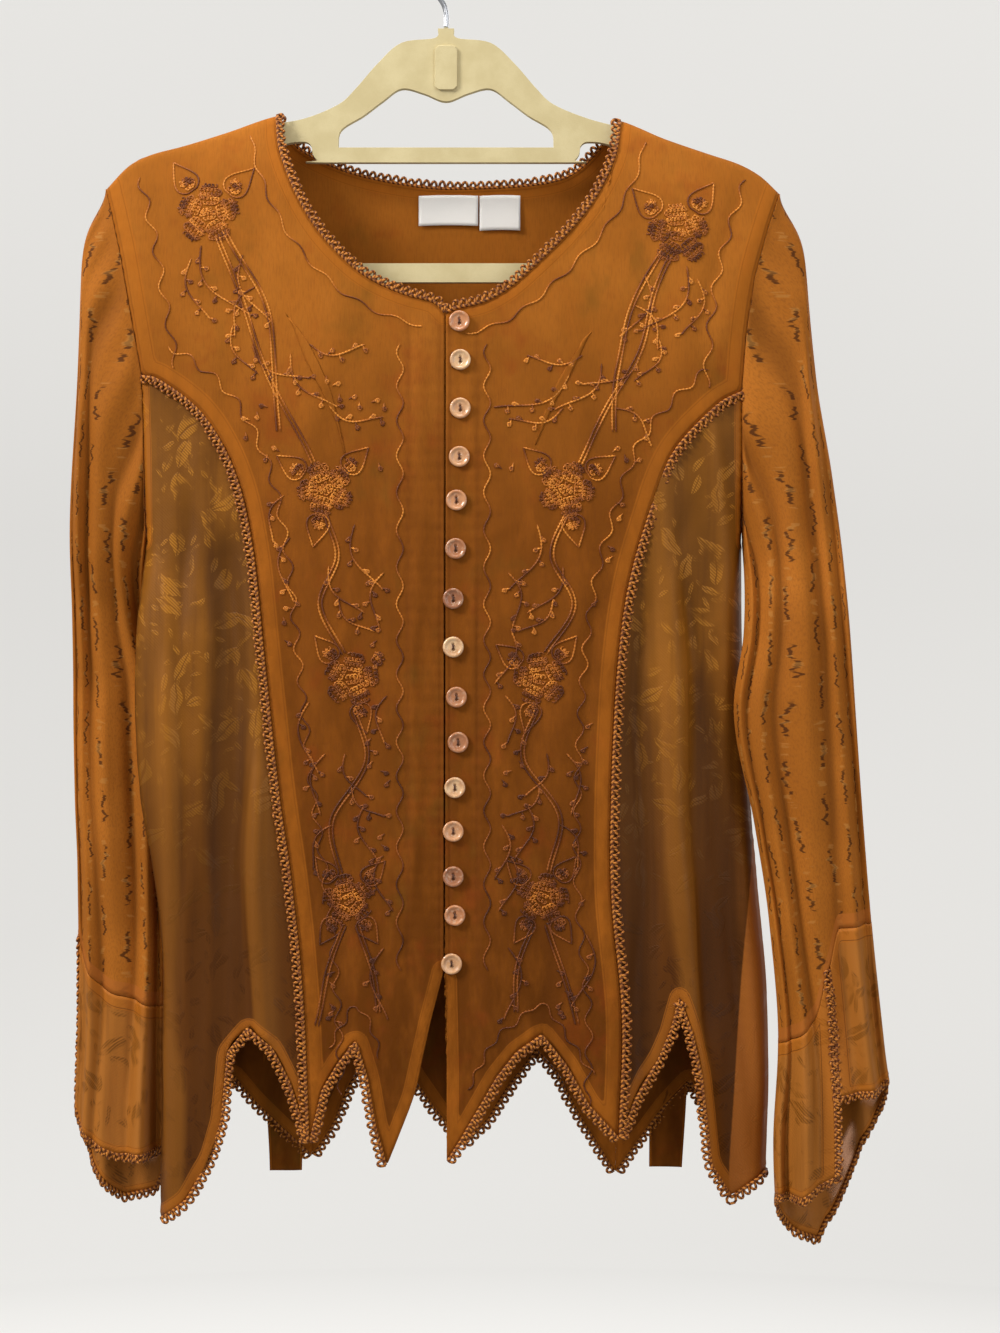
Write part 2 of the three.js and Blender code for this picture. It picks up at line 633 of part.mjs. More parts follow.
// Rounds run inner edge, front, outer edge, back, so the left sleeve turns the other way
function tubeWall(outer, wraps, side, levelRows, keepTop) {
  const normals = gridNormals(outer, wraps, levelRows);
  const inward = side === 'left' ? WALL : -WALL;
  const inner = outer.map((row, r) => row.map((point, c) => {
    const moved = point.clone().addScaledVector(normals[r][c], inward);
    if (keepTop && r === 0) {
      moved.x = side === 'left' ? Math.min(moved.x, point.x) : Math.max(moved.x, point.x);
    }
    return moved;
  }));
  return closedWall(outer, inner, wraps);
}

function sleeveWall(side) {
  const shape = SHAPES[side];
  const down = steps(13).map((t) => t ** 1.35);
  const outer = down.map((t) => Array.from({ length: SLEEVE_COLUMNS }, (_, c) => {
    const round = c / SLEEVE_COLUMNS;
    const start = shape.loopPoint(round);
    if (t === 0) return new THREE.Vector3(start.x, start.y, start.z);
    return shape.point(round, start.z + (shape.seamZ(round) - start.z) * t);
  }));
  return tubeWall(outer, true, side, [down.length - 1], true);
}

// Cuff flounce, open along its slit, and the braid along its hem
function cuffGrid(side, rowsDown) {
  const shape = SHAPES[side];
  const { slit, hem } = CUFFS[side];
  const hemZ = cornerCurve(hem, 'round', 'z');
  const shy = 0.001;
  const steepness = (slope) => Math.hypot(2.1, 3.6 * slope);
  const last = SLEEVE_COLUMNS;
  return rowsDown.map((place, r) => {
    const row = Array.from({ length: last + 1 }, (_, c) => {
      const round = (slit + c / SLEEVE_COLUMNS) % 1;
      const hemRound = (slit + Math.min(Math.max(c / SLEEVE_COLUMNS, shy), 1 - shy)) % 1;
      const slope = (shape.seamZ(round + 0.02) - shape.seamZ(Math.max(round - 0.02, 0))) / (0.04 * SLEEVE_GIRTH);
      const top = shape.seamZ(round) - SEAM * steepness(slope);
      const hemSlope = (hemZ(hemRound + 0.02) - hemZ(Math.max(hemRound - 0.02, 0))) / (0.04 * SLEEVE_GIRTH);
      return shape.point(round, place(top, hemZ(hemRound), SEAM * steepness(Math.min(Math.abs(hemSlope), 3))));
    });
    const open = 0.08 + 0.3 * (r / (rowsDown.length - 1));
    const [first, second] = [row[0].clone(), row[last].clone()];
    row[0] = first.lerp(row[1], open);
    row[last] = second.lerp(row[last - 1], open);
    return row;
  });
}

function cuffWall(side) {
  const rows = steps(4).map((t) => (top, foot) => top + (foot - top) * t);
  return tubeWall(cuffGrid(side, rows), false, side, [0, 4], false);
}

// Braid beside an edge curve, between two distances from it, level with the cloth
function braidAlong(face, rows, near, far) {
  const places = toPoints(rows);
  const last = places.length - 1;
  places[0].lerp(places[1], BRAID_INSET);
  places[last].lerp(places[last - 1], BRAID_INSET);
  const offset = places.map((point, i) => {
    const before = point.clone().sub(places[Math.max(i - 1, 0)]).normalize();
    const after = places[Math.min(i + 1, last)].clone().sub(point).normalize();
    const along = before.clone().add(after).normalize();
    const cosine = i === 0 || i === last ? 1 : Math.max(along.dot(after), 0.55);
    return new THREE.Vector2(along.y, -along.x).multiplyScalar(1 / cosine);
  });
  const line = (distance, lift) => places.map((point, i) => {
    const p = point.clone().addScaledVector(offset[i], distance);
    return bodyPoint(face, p.x, p.y, lift);
  });
  return closedWall([line(near, 0), line(far, 0)], [line(near, -TRIM_WALL), line(far, -TRIM_WALL)]);
}

// Braid that lies on a side front beside the princess seam, made from the panel's own points
function princessBraid(side, panel) {
  const { plan, outer } = panel.userData;
  const seam = side === 'left' ? outer[0].length - 1 : 0;
  const inward = side === 'left' ? -1 : 1;
  const overTop = outer[0].map((_, column) => ({ row: 0, column, toRow: 1, toColumn: column }));
  if (side === 'right') overTop.reverse();
  overTop.shift();
  overTop[overTop.length - 1].toColumn += inward;
  const down = outer.slice(1).map((_, i) => (
    { row: i + 1, column: seam, toRow: i + 1, toColumn: seam + inward }));
  const lanes = [...overTop, ...down];
  const line = (distance, lift) => lanes.map((lane) => {
    const point = outer[lane.row][lane.column].clone();
    const towards = outer[lane.toRow][lane.toColumn].clone().sub(point).normalize();
    const place = plan[lane.row][lane.column];
    return point.addScaledVector(towards, distance).addScaledVector(bodyNormal(FRONT, place.x, place.y), lift);
  });
  const far = PRINCESS_BRAID_SET + TRIM_WIDTH;
  const high = SEAM + TRIM_WALL;
  return closedWall(
    [line(PRINCESS_BRAID_SET, high), line(far, high)],
    [line(PRINCESS_BRAID_SET, SEAM), line(far, SEAM)],
  );
}

function cuffTrim(side) {
  const rows = [0, TRIM_WIDTH].map((drop) => (top, foot, gap) => foot - gap - drop);
  return tubeWall(cuffGrid(side, rows), false, side, [0, 1], false);
}

// Flat strip that lies on a face of the body, between two distances from it
function strip(face, columns, rows, near, far) {
  const sheet = (out) => rows.map((z) => columns.map((x) => bodyPoint(face, x, z, out)));
  return closedWall(sheet(far), sheet(near));
}

function button(x, z) {
  const radius = BUTTON_DIAMETER / 2;
  const thick = BUTTON_THICK;
  const profile = [
    [0, 0], [radius * 0.75, 0], [radius, thick * 0.45], [radius * 0.86, thick],
    [radius * 0.6, thick * 0.7], [0, thick * 0.7],
  ].map(([across, up]) => new THREE.Vector2(across, up));
  const mesh = addPiece('', new THREE.LatheGeometry(profile, 10), SHELL);
  mesh.position.copy(bodyPoint(FRONT, x, z, BUTTON_LIFT));
  mesh.quaternion.setFromUnitVectors(new THREE.Vector3(0, 1, 0), bodyNormal(FRONT, x, z));
  return mesh;
}

// Hanger: an arch and two arms with a crossbar and a trouser bar, cut from one flat shape
function hangerShape() {
  const under = (x) => shoulderLine(x) - HANGER_CLEAR;
  const arm = [115, 130, 148, 166, 184, 198, 208];
  const arch = [[5, STEM_FOOT], [7, -66], [28, -69], [43, -82], [57, -98], [68, -108], [90, -117]];
  const mirror = (points) => points.map(([x, z]) => [-x, z]).reverse();
  const rightTop = [...arch, ...arm.map((x) => [x, under(x)])];
  const leftTop = mirror(arch);
  const leftArm = arm.map((x) => [-x, under(-x)]).reverse();
  const tip = [[213, -176], [212, -190], [204, -206], [190, -220]];
  const outline = [...leftArm, ...leftTop, ...rightTop, ...tip, ...mirror(tip)];
  const shape = new THREE.Shape(outline.reverse().map(([x, z]) => new THREE.Vector2(x, z)));
  const halfArch = [[66, -124], [52, -115], [40, -106], [28, -98], [14, -101], [0, -106]];
  const upper = [[-68, -135], [68, -135], ...halfArch, ...mirror(halfArch.slice(0, -1))];
  const armFoot = (x) => [x, under(Math.abs(x)) - ARM_WIDTH];
  const armFeet = [137, 166, 186].map(armFoot);
  const lowerRight = [[79, -144], [84, -132], [105, -134], ...armFeet, [194, -184], [188, -208]];
  const lower = [...lowerRight, ...mirror(lowerRight)];
  for (const hole of [upper, lower]) {
    shape.holes.push(new THREE.Path(hole.map(([x, z]) => new THREE.Vector2(x, z))));
  }
  return shape;
}

function plate(shape, thick, front) {
  const geometry = new THREE.ExtrudeGeometry(shape, { depth: thick, bevelEnabled: false, curveSegments: 4 });
  geometry.rotateX(Math.PI / 2);
  geometry.translate(0, front + thick, 0);
  return geometry;
}

function hangerTab() {
  const shape = new THREE.Shape();
  const [half, top, foot, round] = [7.2, -71, -99, 3];
  shape.moveTo(-half + round, foot);
  shape.lineTo(half - round, foot);
  shape.quadraticCurveTo(half, foot, half, foot + round);
  shape.lineTo(half, top - round);
  shape.quadraticCurveTo(half, top, half - round, top);
  shape.lineTo(-half + round, top);
  shape.quadraticCurveTo(-half, top, -half, top - round);
  shape.lineTo(-half, foot + round);
  shape.quadraticCurveTo(-half, foot, -half + round, foot);
  return plate(shape, TAB_THICK, -HANGER_THICK / 2 - SEAM - TAB_THICK);
}

// Wire hook: a stem, then a loop whose inner top is the origin
function hookWire() {
  const radius = WIRE_DIAMETER / 2;
  const loop = HOOK_INNER + radius;
  const centreZ = -HOOK_INNER;
  const arc = steps(10).map((t) => {
    const angle = THREE.MathUtils.degToRad(225 - 255 * t);
    return new THREE.Vector3(loop * Math.cos(angle), 0, centreZ + loop * Math.sin(angle));
  });
  const stem = [new THREE.Vector3(0, 0, STEM_FOOT + SEAM), new THREE.Vector3(0, 0, -50), new THREE.Vector3(-3, 0, -42)];
  const curve = new THREE.CatmullRomCurve3([...stem, ...arc]);
  const section = new THREE.Shape().absarc(0, 0, radius, 0, Math.PI * 2);
  return new THREE.ExtrudeGeometry(section, { steps: 30, curveSegments: 4, extrudePath: curve });
}

// Body panels
addPiece('front_left', centreFront('left'), RAYON);
addPiece('front_right', centreFront('right'), RAYON);
const sideFronts = {
  left: sidePanel('left', FRONT, HEM.sideLeft),
  right: sidePanel('right', FRONT, HEM.sideRight),
};
addPiece('back_centre', centreBack(), RAYON);

// Pieces that come in pairs
for (const side of ['left', 'right']) {
  addPiece(`side_front_${side}`, sideFronts[side], FIGURED);
  addPiece(`side_back_${side}`, sidePanel(side, BACK, BACK_SIDE_HEMS[side]), RAYON);
  addPiece(`sleeve_${side}`, sleeveWall(side), SHEER);
  addPiece(`cuff_${side}`, cuffWall(side), FIGURED);
  addPiece(`cuff_trim_${side}`, cuffTrim(side), BRAID);
  addPiece(`princess_trim_${side}`, princessBraid(side, sideFronts[side]), BRAID);
}

// Braid on the neck, turned to the opening, and below the hems
const nearEdge = SEAM + 0.1;
const farEdge = nearEdge + TRIM_WIDTH;
addPiece('neck_trim_left', braidAlong(FRONT, NECK.left.slice(0, -1), -nearEdge, -farEdge), BRAID);
addPiece('neck_trim_right', braidAlong(FRONT, NECK.right.slice(1), -nearEdge, -farEdge), BRAID);
addPiece('neck_trim_back', braidAlong(BACK, NECK.back, -nearEdge, -farEdge), BRAID);
addPiece('hem_trim_side_left', braidAlong(FRONT, HEM.sideLeft, nearEdge, farEdge), BRAID);
addPiece('hem_trim_front_left', braidAlong(FRONT, HEM.frontLeft.slice(0, 7), nearEdge, farEdge), BRAID);
addPiece('hem_trim_front_right', braidAlong(FRONT, HEM.frontRight.slice(2), nearEdge, farEdge), BRAID);
addPiece('hem_trim_side_right', braidAlong(FRONT, HEM.sideRight, nearEdge, farEdge), BRAID);
addPiece('hem_trim_back_left', braidAlong(BACK, HEM.sideBackLeft, nearEdge, farEdge), BRAID);
addPiece('hem_trim_back', braidAlong(BACK, HEM.backCentre, nearEdge, farEdge), BRAID);
addPiece('hem_trim_back_right', braidAlong(BACK, HEM.sideBackRight, nearEdge, farEdge), BRAID);

// Labels inside the back neck, bare, and the ties that hang behind
const labelRows = [-161, -170, -180];
const label = (columns, rows) => strip(BACK, columns, rows, -WALL - LABEL_FAR, -WALL - LABEL_NEAR);
addPiece('label_main', label([-18, 1, 20], labelRows), LABEL);
addPiece('label_side', label([21, 34, 47], [...labelRows, -183]), LABEL);
const tieRows = steps(9).map((t) => TIE_TOP - TIE_LENGTH * t);
for (const [side, middle] of Object.entries(TIE_MIDDLES)) {
  const columns = [middle - TIE_WIDTH / 2, middle, middle + TIE_WIDTH / 2];
  addPiece(`tie_${side}`, strip(BACK, columns, tieRows, TIE_NEAR, TIE_FAR), RAYON);
}

BUTTONS.forEach((place, i) => {
  button(place.x, place.z).name = `button_${i + 1}`;
});

// Hanger
addPiece('hanger', plate(hangerShape(), HANGER_THICK, -HANGER_THICK / 2), VELVET);
addPiece('hanger_tab', hangerTab(), VELVET);
addPiece('hook', hookWire(), STEEL);

export default blouse;
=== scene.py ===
"""A peasant blouse on a flocked hanger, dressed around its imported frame.

Tables are in millimetres, in the frame's own axes: +Z up, the blouse faces -Y,
and left is -X, as seen from the front.
"""
import math

import bmesh
import bpy
import numpy as np
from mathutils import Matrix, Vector


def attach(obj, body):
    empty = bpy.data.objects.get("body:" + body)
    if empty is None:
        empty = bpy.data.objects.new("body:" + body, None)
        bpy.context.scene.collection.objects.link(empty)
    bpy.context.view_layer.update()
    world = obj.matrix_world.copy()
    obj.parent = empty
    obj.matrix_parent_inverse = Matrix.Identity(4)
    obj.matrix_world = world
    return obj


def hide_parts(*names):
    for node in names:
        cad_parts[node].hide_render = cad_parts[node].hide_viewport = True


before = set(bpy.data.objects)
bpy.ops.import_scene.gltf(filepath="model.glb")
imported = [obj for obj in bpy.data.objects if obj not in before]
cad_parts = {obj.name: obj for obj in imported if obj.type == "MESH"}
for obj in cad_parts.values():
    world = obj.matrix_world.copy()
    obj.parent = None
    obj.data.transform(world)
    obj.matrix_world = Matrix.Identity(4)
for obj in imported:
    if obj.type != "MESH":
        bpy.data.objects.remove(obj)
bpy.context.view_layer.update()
MM = 0.001
BODY = "root"

# Driving sizes
BODY_DEPTH = 22.0
SHOULDER_ROUND = 4.8
SHOULDER_DROP = 45.0
BULGE_ALONG = 2.6
BULGE_ROUND = 2.2
EDGE_EASE = 0.15
CLOTH = 0.6
PICOT_PITCH = 5.0
PICOT_HEIGHT = 3.5
PICOT_THICK = 0.95
CORD_THICK = 1.25
BUTTON_RADIUS = 6.5
BUTTON_THICK = 2.6
HANGER_HALF = 2.5
ARMPIT_Z = -384.0
CUFF_FLARE = 0.09
UNDERARM_EASE = 0.5
CUFF_RUFFLE = 2.8
SLEEVE_GATHER = 1.3
SLEEVE_CLOTH = 0.35
CUFF_CLOTH = 0.5
BAND_REACH = 1.6
STITCH_STEP = 1.05
STITCH_HIGH = 0.55
STITCH_LIFT = 0.3
STITCH_WAIST = 0.48
EVENING_ROUNDS = 70
# Creases on each panel: their count, then ranges of place, width, length, lean and rise
CREASES = 90
CREASE_X, CREASE_Z = (-200, 210), (-800, -150)
CREASE_WIDE, CREASE_LONG = (3, 8), (12, 60)
CREASE_LEAN, CREASE_RISE = (-0.25, 0.25), (0.1, 0.45)
SIDES = ("left", "right")
OUTWARD = {"left": -1, "right": 1}

# Shoulder line: x, z
SHOULDER = [
    (-240, -190), (-214, -161), (-198, -145), (-185, -139), (-166, -134), (-137, -125), (-107, -115),
    (0, -100), (110, -118), (137, -129), (166, -139), (184, -145), (197, -152), (210, -164), (240, -196),
]
# Edges of the flat body: z, left, right
BODY_EDGES = [
    (-100, -232, 230), (-200, -226, 222), (-280, -205, 202), (-340, -195, 192), (-384, -188, 186.5),
    (-440, -194, 187), (-485, -195, 189), (-540, -192, 192), (-600, -182, 197), (-670, -176, 203),
    (-720, -177, 204), (-785, -179, 202), (-820, -179, 201),
]
# Fore and aft place of the side edges: z, left, right
EDGE_SET = [(-100, 0, 0), (-300, 0, 0), (-384, -4, 3), (-450, -8, 6), (-820, -8, 6)]
# Armholes: z, x
ARMHOLE = {
    "left": [
        (-161, -214), (-180, -209), (-206, -203), (-240, -197), (-280, -190), (-330, -188.5), (-384, -188),
    ],
    "right": [
        (-164, 210), (-187, 202), (-219, 193), (-251, 188), (-290, 185), (-330, 185.5), (-384, 186.5),
    ],
}
# Armhole rows above and below the princess seam's start: x, z
UPPER_ARMHOLE = {side: [(x, z) for z, x in rows[:4]] for side, rows in ARMHOLE.items()}
LOWER_ARMHOLE = {side: [(x, z) for z, x in rows[5:]] for side, rows in ARMHOLE.items()}
# Princess seams: x, z
PRINCESS = {
    "left": [
        (-190, -280), (-177, -284), (-150, -306), (-130, -343), (-119, -391), (-112, -455), (-103, -539),
        (-95, -596), (-88, -666), (-84, -756),
    ],
    "right": [
        (185, -290), (168, -300), (141, -330), (125, -372), (112, -423), (105, -496), (103, -596),
        (110, -680), (108, -755),
    ],
}
# Rows of each seam from neck to hem, and how much of a princess seam lies over the side panel's top
SEAM_ROWS = 16
TOP_ROWS = 3
TURN = TOP_ROWS / SEAM_ROWS
# Neck edges: x, z
NECK = {
    "left": [
        (-107, -115), (-106.5, -119.5), (-104, -139), (-94, -166), (-80, -190), (-62, -210), (-46, -222),
        (-26, -231), (-8, -236), (-0.5, -243),
    ],
    "right": [
        (0.5, -243), (8, -240), (24, -236), (40, -227), (57, -212), (73, -196), (89, -177), (100, -158),
        (107, -140), (109.5, -122.5), (110, -118),
    ],
    "back": [
        (-107, -115), (-104.5, -119.5), (-93, -134), (-60, -148), (-17, -156), (18, -157), (63, -154),
        (86, -145), (107, -122.5), (110, -118),
    ],
}
# Hem tips and notches: x, z
HEM = {
    "side_left": [
        (-178, -806), (-161, -793), (-147, -768), (-139, -744), (-135, -701), (-122, -685), (-107, -697),
        (-96, -719), (-84, -756),
    ],
    "front_left": [
        (-84, -756), (-76, -724), (-66, -707), (-55, -693), (-48, -716), (-43, -745), (-36, -771),
        (-28, -751), (-19, -727), (-9, -682), (-1, -651),
    ],
    "front_right": [
        (0, -656), (1, -705), (1, -768), (9, -756), (20, -737), (32, -716), (44, -701), (60, -690),
        (75, -709), (89, -734), (108, -755),
    ],
    "side_right": [
        (108, -755), (118, -731), (132, -708), (140, -690), (146, -668), (154, -690), (160, -718),
        (166, -772), (179, -794), (202, -779),
    ],
    "side_back_left": [
        (-178, -806), (-161, -781), (-145, -735), (-136, -722), (-122, -739), (-105, -756), (-86, -774),
    ],
    "back_centre": [
        (-86, -774), (-74, -756), (-62, -728), (-48, -708), (-36, -702), (-20, -728), (-6, -748),
        (11, -767), (26, -752), (40, -730), (57, -707), (70, -721), (86, -751), (108, -786),
    ],
    "side_back_right": [
        (108, -786), (122, -767), (140, -744), (156, -726), (170, -752), (184, -780), (202, -779),
    ],
}
# Main folds: x, lean, half width, rise, top, foot
FRONT_FOLDS = [
    (-168, 0.02, 11, 4.0, -400, -800), (-142, -0.04, 13, -4.5, -350, -790),
    (-116, 0.03, 11, 3.5, -480, -740), (-60, 0.04, 18, 2.5, -560, -800), (40, -0.03, 18, 2.0, -580, -800),
    (124, 0.06, 12, -4.0, -420, -780), (150, 0.07, 11, 4.5, -360, -790), (174, 0.05, 10, -3.5, -420, -800),
]
BACK_FOLDS = [
    (-150, 0.02, 14, 4.0, -420, -800), (-60, 0.02, 20, -3.5, -380, -800), (-10, 0.01, 18, 3.5, -420, -800),
    (50, -0.01, 20, -3.0, -380, -800), (130, 0.04, 14, 4.0, -400, -800),
]
# Sleeve rings: z, inner edge, outer edge, middle, half depth
RINGS = {
    "left": [
        (-150, -200, -227, 0, 14), (-200, -198, -229, 0, 16), (-280, -194, -232, 0, 16),
        (-386, -194, -238, 6, 14), (-430, -190, -238, 14, 12), (-480, -178, -238, 18, 12),
        (-546, -180, -237, 18, 12), (-590, -179, -235, 16, 12), (-675, -177, -234, 15, 13),
        (-760, -178, -236, 14, 15), (-830, -180, -236, 12, 16),
    ],
    "right": [
        (-150, 198, 224, 0, 14), (-200, 196, 226, 0, 16), (-280, 190, 233, 0, 16), (-343, 189, 243, -2, 15),
        (-395, 190, 249, -8, 14), (-440, 187, 252, -17, 12), (-488, 180, 255, -19, 12),
        (-561, 193, 260, -19, 13), (-620, 202, 265, -18, 13), (-697, 208, 273, -17, 15),
        (-760, 205, 280, -17, 17), (-830, 208, 276, -17, 17),
    ],
}
# Cuffs: the slit's place round the sleeve, then round and z of the seam and of the hem
CUFFS = {
    "left": {
        "slit": 0.5,
        "seam": [
            (0, -675), (0.12, -677), (0.25, -670), (0.36, -656), (0.44, -638), (0.5, -629), (0.56, -638),
            (0.64, -656), (0.78, -670), (1, -675),
        ],
        "hem": [
            (0, -762), (0.12, -767), (0.25, -769), (0.36, -757), (0.44, -743), (0.5, -732), (0.56, -752),
            (0.64, -780), (0.75, -801), (0.86, -796), (1, -762),
        ],
    },
    "right": {
        "slit": 0.25,
        "seam": [
            (0, -697), (0.12, -693), (0.21, -681), (0.29, -624), (0.5, -621), (0.62, -634), (0.8, -676),
            (1, -697),
        ],
        "hem": [
            (0, -790), (0.08, -788), (0.16, -789), (0.249, -776), (0.251, -727), (0.4, -720), (0.5, -713),
            (0.6, -738), (0.68, -758), (0.77, -822), (0.86, -814), (1, -790),
        ],
    },
}
# Buttons: x, z, shade of the shell from dark to pale
BUTTONS = [
    (8.8, -248, 0.5), (9.4, -272, 0.95), (9.4, -302, 0.7), (8.8, -332, 0.65), (7, -359, 0.55),
    (6.5, -389, 0.3), (5, -420, 0.15), (5, -450, 0.9), (7, -481, 0.35), (8, -509, 0.3), (6, -537, 0.85),
    (5, -564, 0.6), (5, -592, 0.2), (6, -616, 0.45), (4, -646, 0.75),
]


# Curves through tables
def table_curve(rows, key, column):
    """Smooth, never overshooting curve through a table's column."""
    ordered = sorted(rows, key=lambda row: row[key])
    xs = np.array([row[key] for row in ordered], float)
    ys = np.array([row[column] for row in ordered], float)
    rise = np.diff(ys) / np.diff(xs)
    slope = np.zeros_like(ys)
    slope[0], slope[-1] = rise[0], rise[-1]
    for i in range(1, len(xs) - 1):
        before, after = rise[i - 1], rise[i]
        slope[i] = 2 * before * after / (before + after) if before * after > 0 else 0

    def read(at):
        x = np.clip(np.asarray(at, float), xs[0], xs[-1])
        i = np.clip(np.searchsorted(xs, x, side="right") - 1, 0, len(xs) - 2)
        span = xs[i + 1] - xs[i]
        t = (x - xs[i]) / span
        a = ys[i] * (1 + 2 * t) * (1 - t) ** 2 + slope[i] * span * t * (1 - t) ** 2
        b = ys[i + 1] * t * t * (3 - 2 * t) + slope[i + 1] * span * t * t * (t - 1)
        return a + b

    return read


def corner_curve(rows, key, column):
    ordered = sorted(rows, key=lambda row: row[key])
    xs = [row[key] for row in ordered]
    ys = [row[column] for row in ordered]
    return lambda at: np.interp(at, xs, ys)


def smooth(low, high, at):
    t = np.clip((np.asarray(at, float) - low) / (high - low), 0, 1)
    return t * t * (3 - 2 * t)


def curve_point(a, b, c, d, t):
    """Point between b and c, a share t of the way, on a soft curve through all four."""
    return 0.5 * (2 * b + (c - a) * t + (2 * a - 5 * b + 4 * c - d) * t * t + (3 * b - a - 3 * c + d) * t**3)


def spline(rows, count=240):
    """Dense points of a soft curve through the rows."""
    p = np.array(rows, float)
    ends = np.vstack([2 * p[0] - p[1], p, 2 * p[-1] - p[-2]])
    each = max(int(count / (len(p) - 1)), 4)
    shares = np.linspace(0, 1, each, endpoint=False)
    out = [curve_point(*ends[i : i + 4], t) for i in range(len(p) - 1) for t in shares]
    return np.array([*out, p[-1]])


def lengths_of(points):
    return np.concatenate([[0], np.cumsum(np.linalg.norm(np.diff(points, axis=0), axis=1))])


def reader(points, stops):
    """Reads a polyline whose points lie at the given stops."""
    return lambda t: np.stack([np.interp(t, stops, column) for column in points.T], -1)


def along_path(points):
    """Reads a polyline from 0 to 1 by its length."""
    points = np.asarray(points, float)
    reach = lengths_of(points)
    return reader(points, reach / reach[-1])


def stop_path(rows):
    """Reads rows from 0 to 1 at even stops, with straight spans."""
    points = np.array(rows, float)
    return reader(points, np.linspace(0, 1, len(points)))


def soft_stop_path(rows, corners=()):
    """As stop_path, but curved between the rows named as corners."""
    each = 12
    marks = sorted({0, len(rows) - 1, *corners})
    dense = []
    for a, b in zip(marks[:-1], marks[1:]):
        part = rows[a : b + 1]
        if len(part) == 2:
            curve = np.linspace(part[0], part[1], each + 1)
        else:
            curve = spline(part, each * (len(part) - 1))
        dense += [*curve[:-1]]
    return stop_path([*dense, rows[-1]])


def softened(line, rounds):
    """The line with its inner points drawn toward their neighbours."""
    line = np.array(line, float)
    for _ in range(rounds):
        line[1:-1] = (line[:-2] + 2 * line[1:-1] + line[2:]) / 4
    return line


def unit(vectors):
    return vectors / np.maximum(np.linalg.norm(vectors, axis=-1, keepdims=True), 1e-9)


def filled_to(rows, count):
    filled = [tuple(map(float, row)) for row in rows]
    while len(filled) < count:
        spans = [math.dist(a, b) for a, b in zip(filled[:-1], filled[1:])]
        i = spans.index(max(spans))
        middle = tuple((a + b) / 2 for a, b in zip(filled[i], filled[i + 1]))
        filled.insert(i + 1, middle)
    return filled


# The body's surface
shoulder_line = table_curve(SHOULDER, 0, 1)
edge_left, edge_right = table_curve(BODY_EDGES, 0, 1), table_curve(BODY_EDGES, 0, 2)
set_left, set_right = table_curve(EDGE_SET, 0, 1), table_curve(EDGE_SET, 0, 2)


def mid_plane(x, z):
    t = np.clip((x - edge_left(z)) / (edge_right(z) - edge_left(z)), 0, 1)
    return set_left(z) + (set_right(z) - set_left(z)) * t


def fold_height(folds, x, z):
    height = 0
    for centre, lean, wide, rise, top, foot in folds:
        middle = centre + lean * ((top + foot) / 2 - z)
        height = height + rise * smooth(top, top - 90, z) * np.exp(-(((x - middle) / wide) ** 2))
    return height


def body_depth(x, z, folds):
    left, right = edge_left(z), edge_right(z)
    t = np.minimum(np.abs((2 * x - left - right) / (right - left)), 1)
    bulge = (1 - t**BULGE_ALONG) ** (1 / BULGE_ROUND)
    drop = np.maximum(shoulder_line(x) - z, 0)
    rounding = np.minimum(drop / SHOULDER_ROUND, 1)
    over = SHOULDER_ROUND * np.sqrt(1 - (1 - rounding) ** 2) * np.minimum(bulge * 3, 1)
    hang = BODY_DEPTH * bulge * (1 - np.exp(-drop / SHOULDER_DROP))
    crease = fold_height(folds, x, z) * np.minimum(bulge * 1.5, 1) * smooth(0, 60, drop)
    return np.maximum(over + hang + crease, 0)


FRONT = {"facing": -1, "folds": FRONT_FOLDS}
BACK = {"facing": 1, "folds": BACK_FOLDS}


def body_place(face, x, z):
    return mid_plane(x, z) + face["facing"] * (EDGE_EASE + body_depth(x, z, face["folds"]))


def body_normal(face, x, z):
    step = 0.6
    slope_x = (body_place(face, x + step, z) - body_place(face, x - step, z)) / (2 * step)
    slope_z = (body_place(face, x, z + step) - body_place(face, x, z - step)) / (2 * step)
    normal = np.stack([slope_x, -np.ones_like(slope_x), slope_z], -1) * -face["facing"]
    return unit(normal)


def body_point(face, x, z, out=0.0):
    x, z = np.broadcast_arrays(np.asarray(x, float), np.asarray(z, float))
    point = np.stack([x, body_place(face, x, z), z], -1)
    point = point + body_normal(face, x, z) * np.asarray(out)[..., None]
    limit = mid_plane(x, z) + face["facing"] * EDGE_EASE
    if face["facing"] < 0:
        point[..., 1] = np.minimum(point[..., 1], limit)
    else:
        point[..., 1] = np.maximum(point[..., 1], limit)
    return point


# Seams shared by neighbouring panels
SIDE_BACK = {"left": HEM["side_back_left"], "right": HEM["side_back_right"]}


def princess_line(side, face):
    rows = list(PRINCESS[side])
    if face is BACK:
        rows[-1] = SIDE_BACK[side][-1 if side == "left" else 0]
    return spline(rows)


def outer_seam(side, face):
    """Armhole, then princess seam, as the centre panels' outer edge."""
    above = UPPER_ARMHOLE[side]
    hole = stop_path([*above, PRINCESS[side][0]])
    share = len(above) / (len(above) + SEAM_ROWS)
    princess = along_path(princess_line(side, face))

    def read(t):
        t = np.asarray(t, float)
        upper = hole(np.clip(t / share, 0, 1))
        lower = princess(np.clip((t - share) / (1 - share), 0, 1))
        return np.where((t < share)[..., None], upper, lower)

    return read


def side_seam(side, foot):
    """Lower armhole and side edge, as the side panels' outer edge."""
    edge = edge_left if side == "left" else edge_right
    hole = [PRINCESS[side][0], *LOWER_ARMHOLE[side]]
    spans = SEAM_ROWS - TOP_ROWS - len(hole) + 1
    below = []
    for i in range(1, spans + 1):
        z = ARMPIT_Z + (foot[1] - ARMPIT_Z) * i / spans
        below.append((float(edge(z)), z))
    below[-1] = foot
    return soft_stop_path([*hole, *below], corners=(len(hole) - 1,))


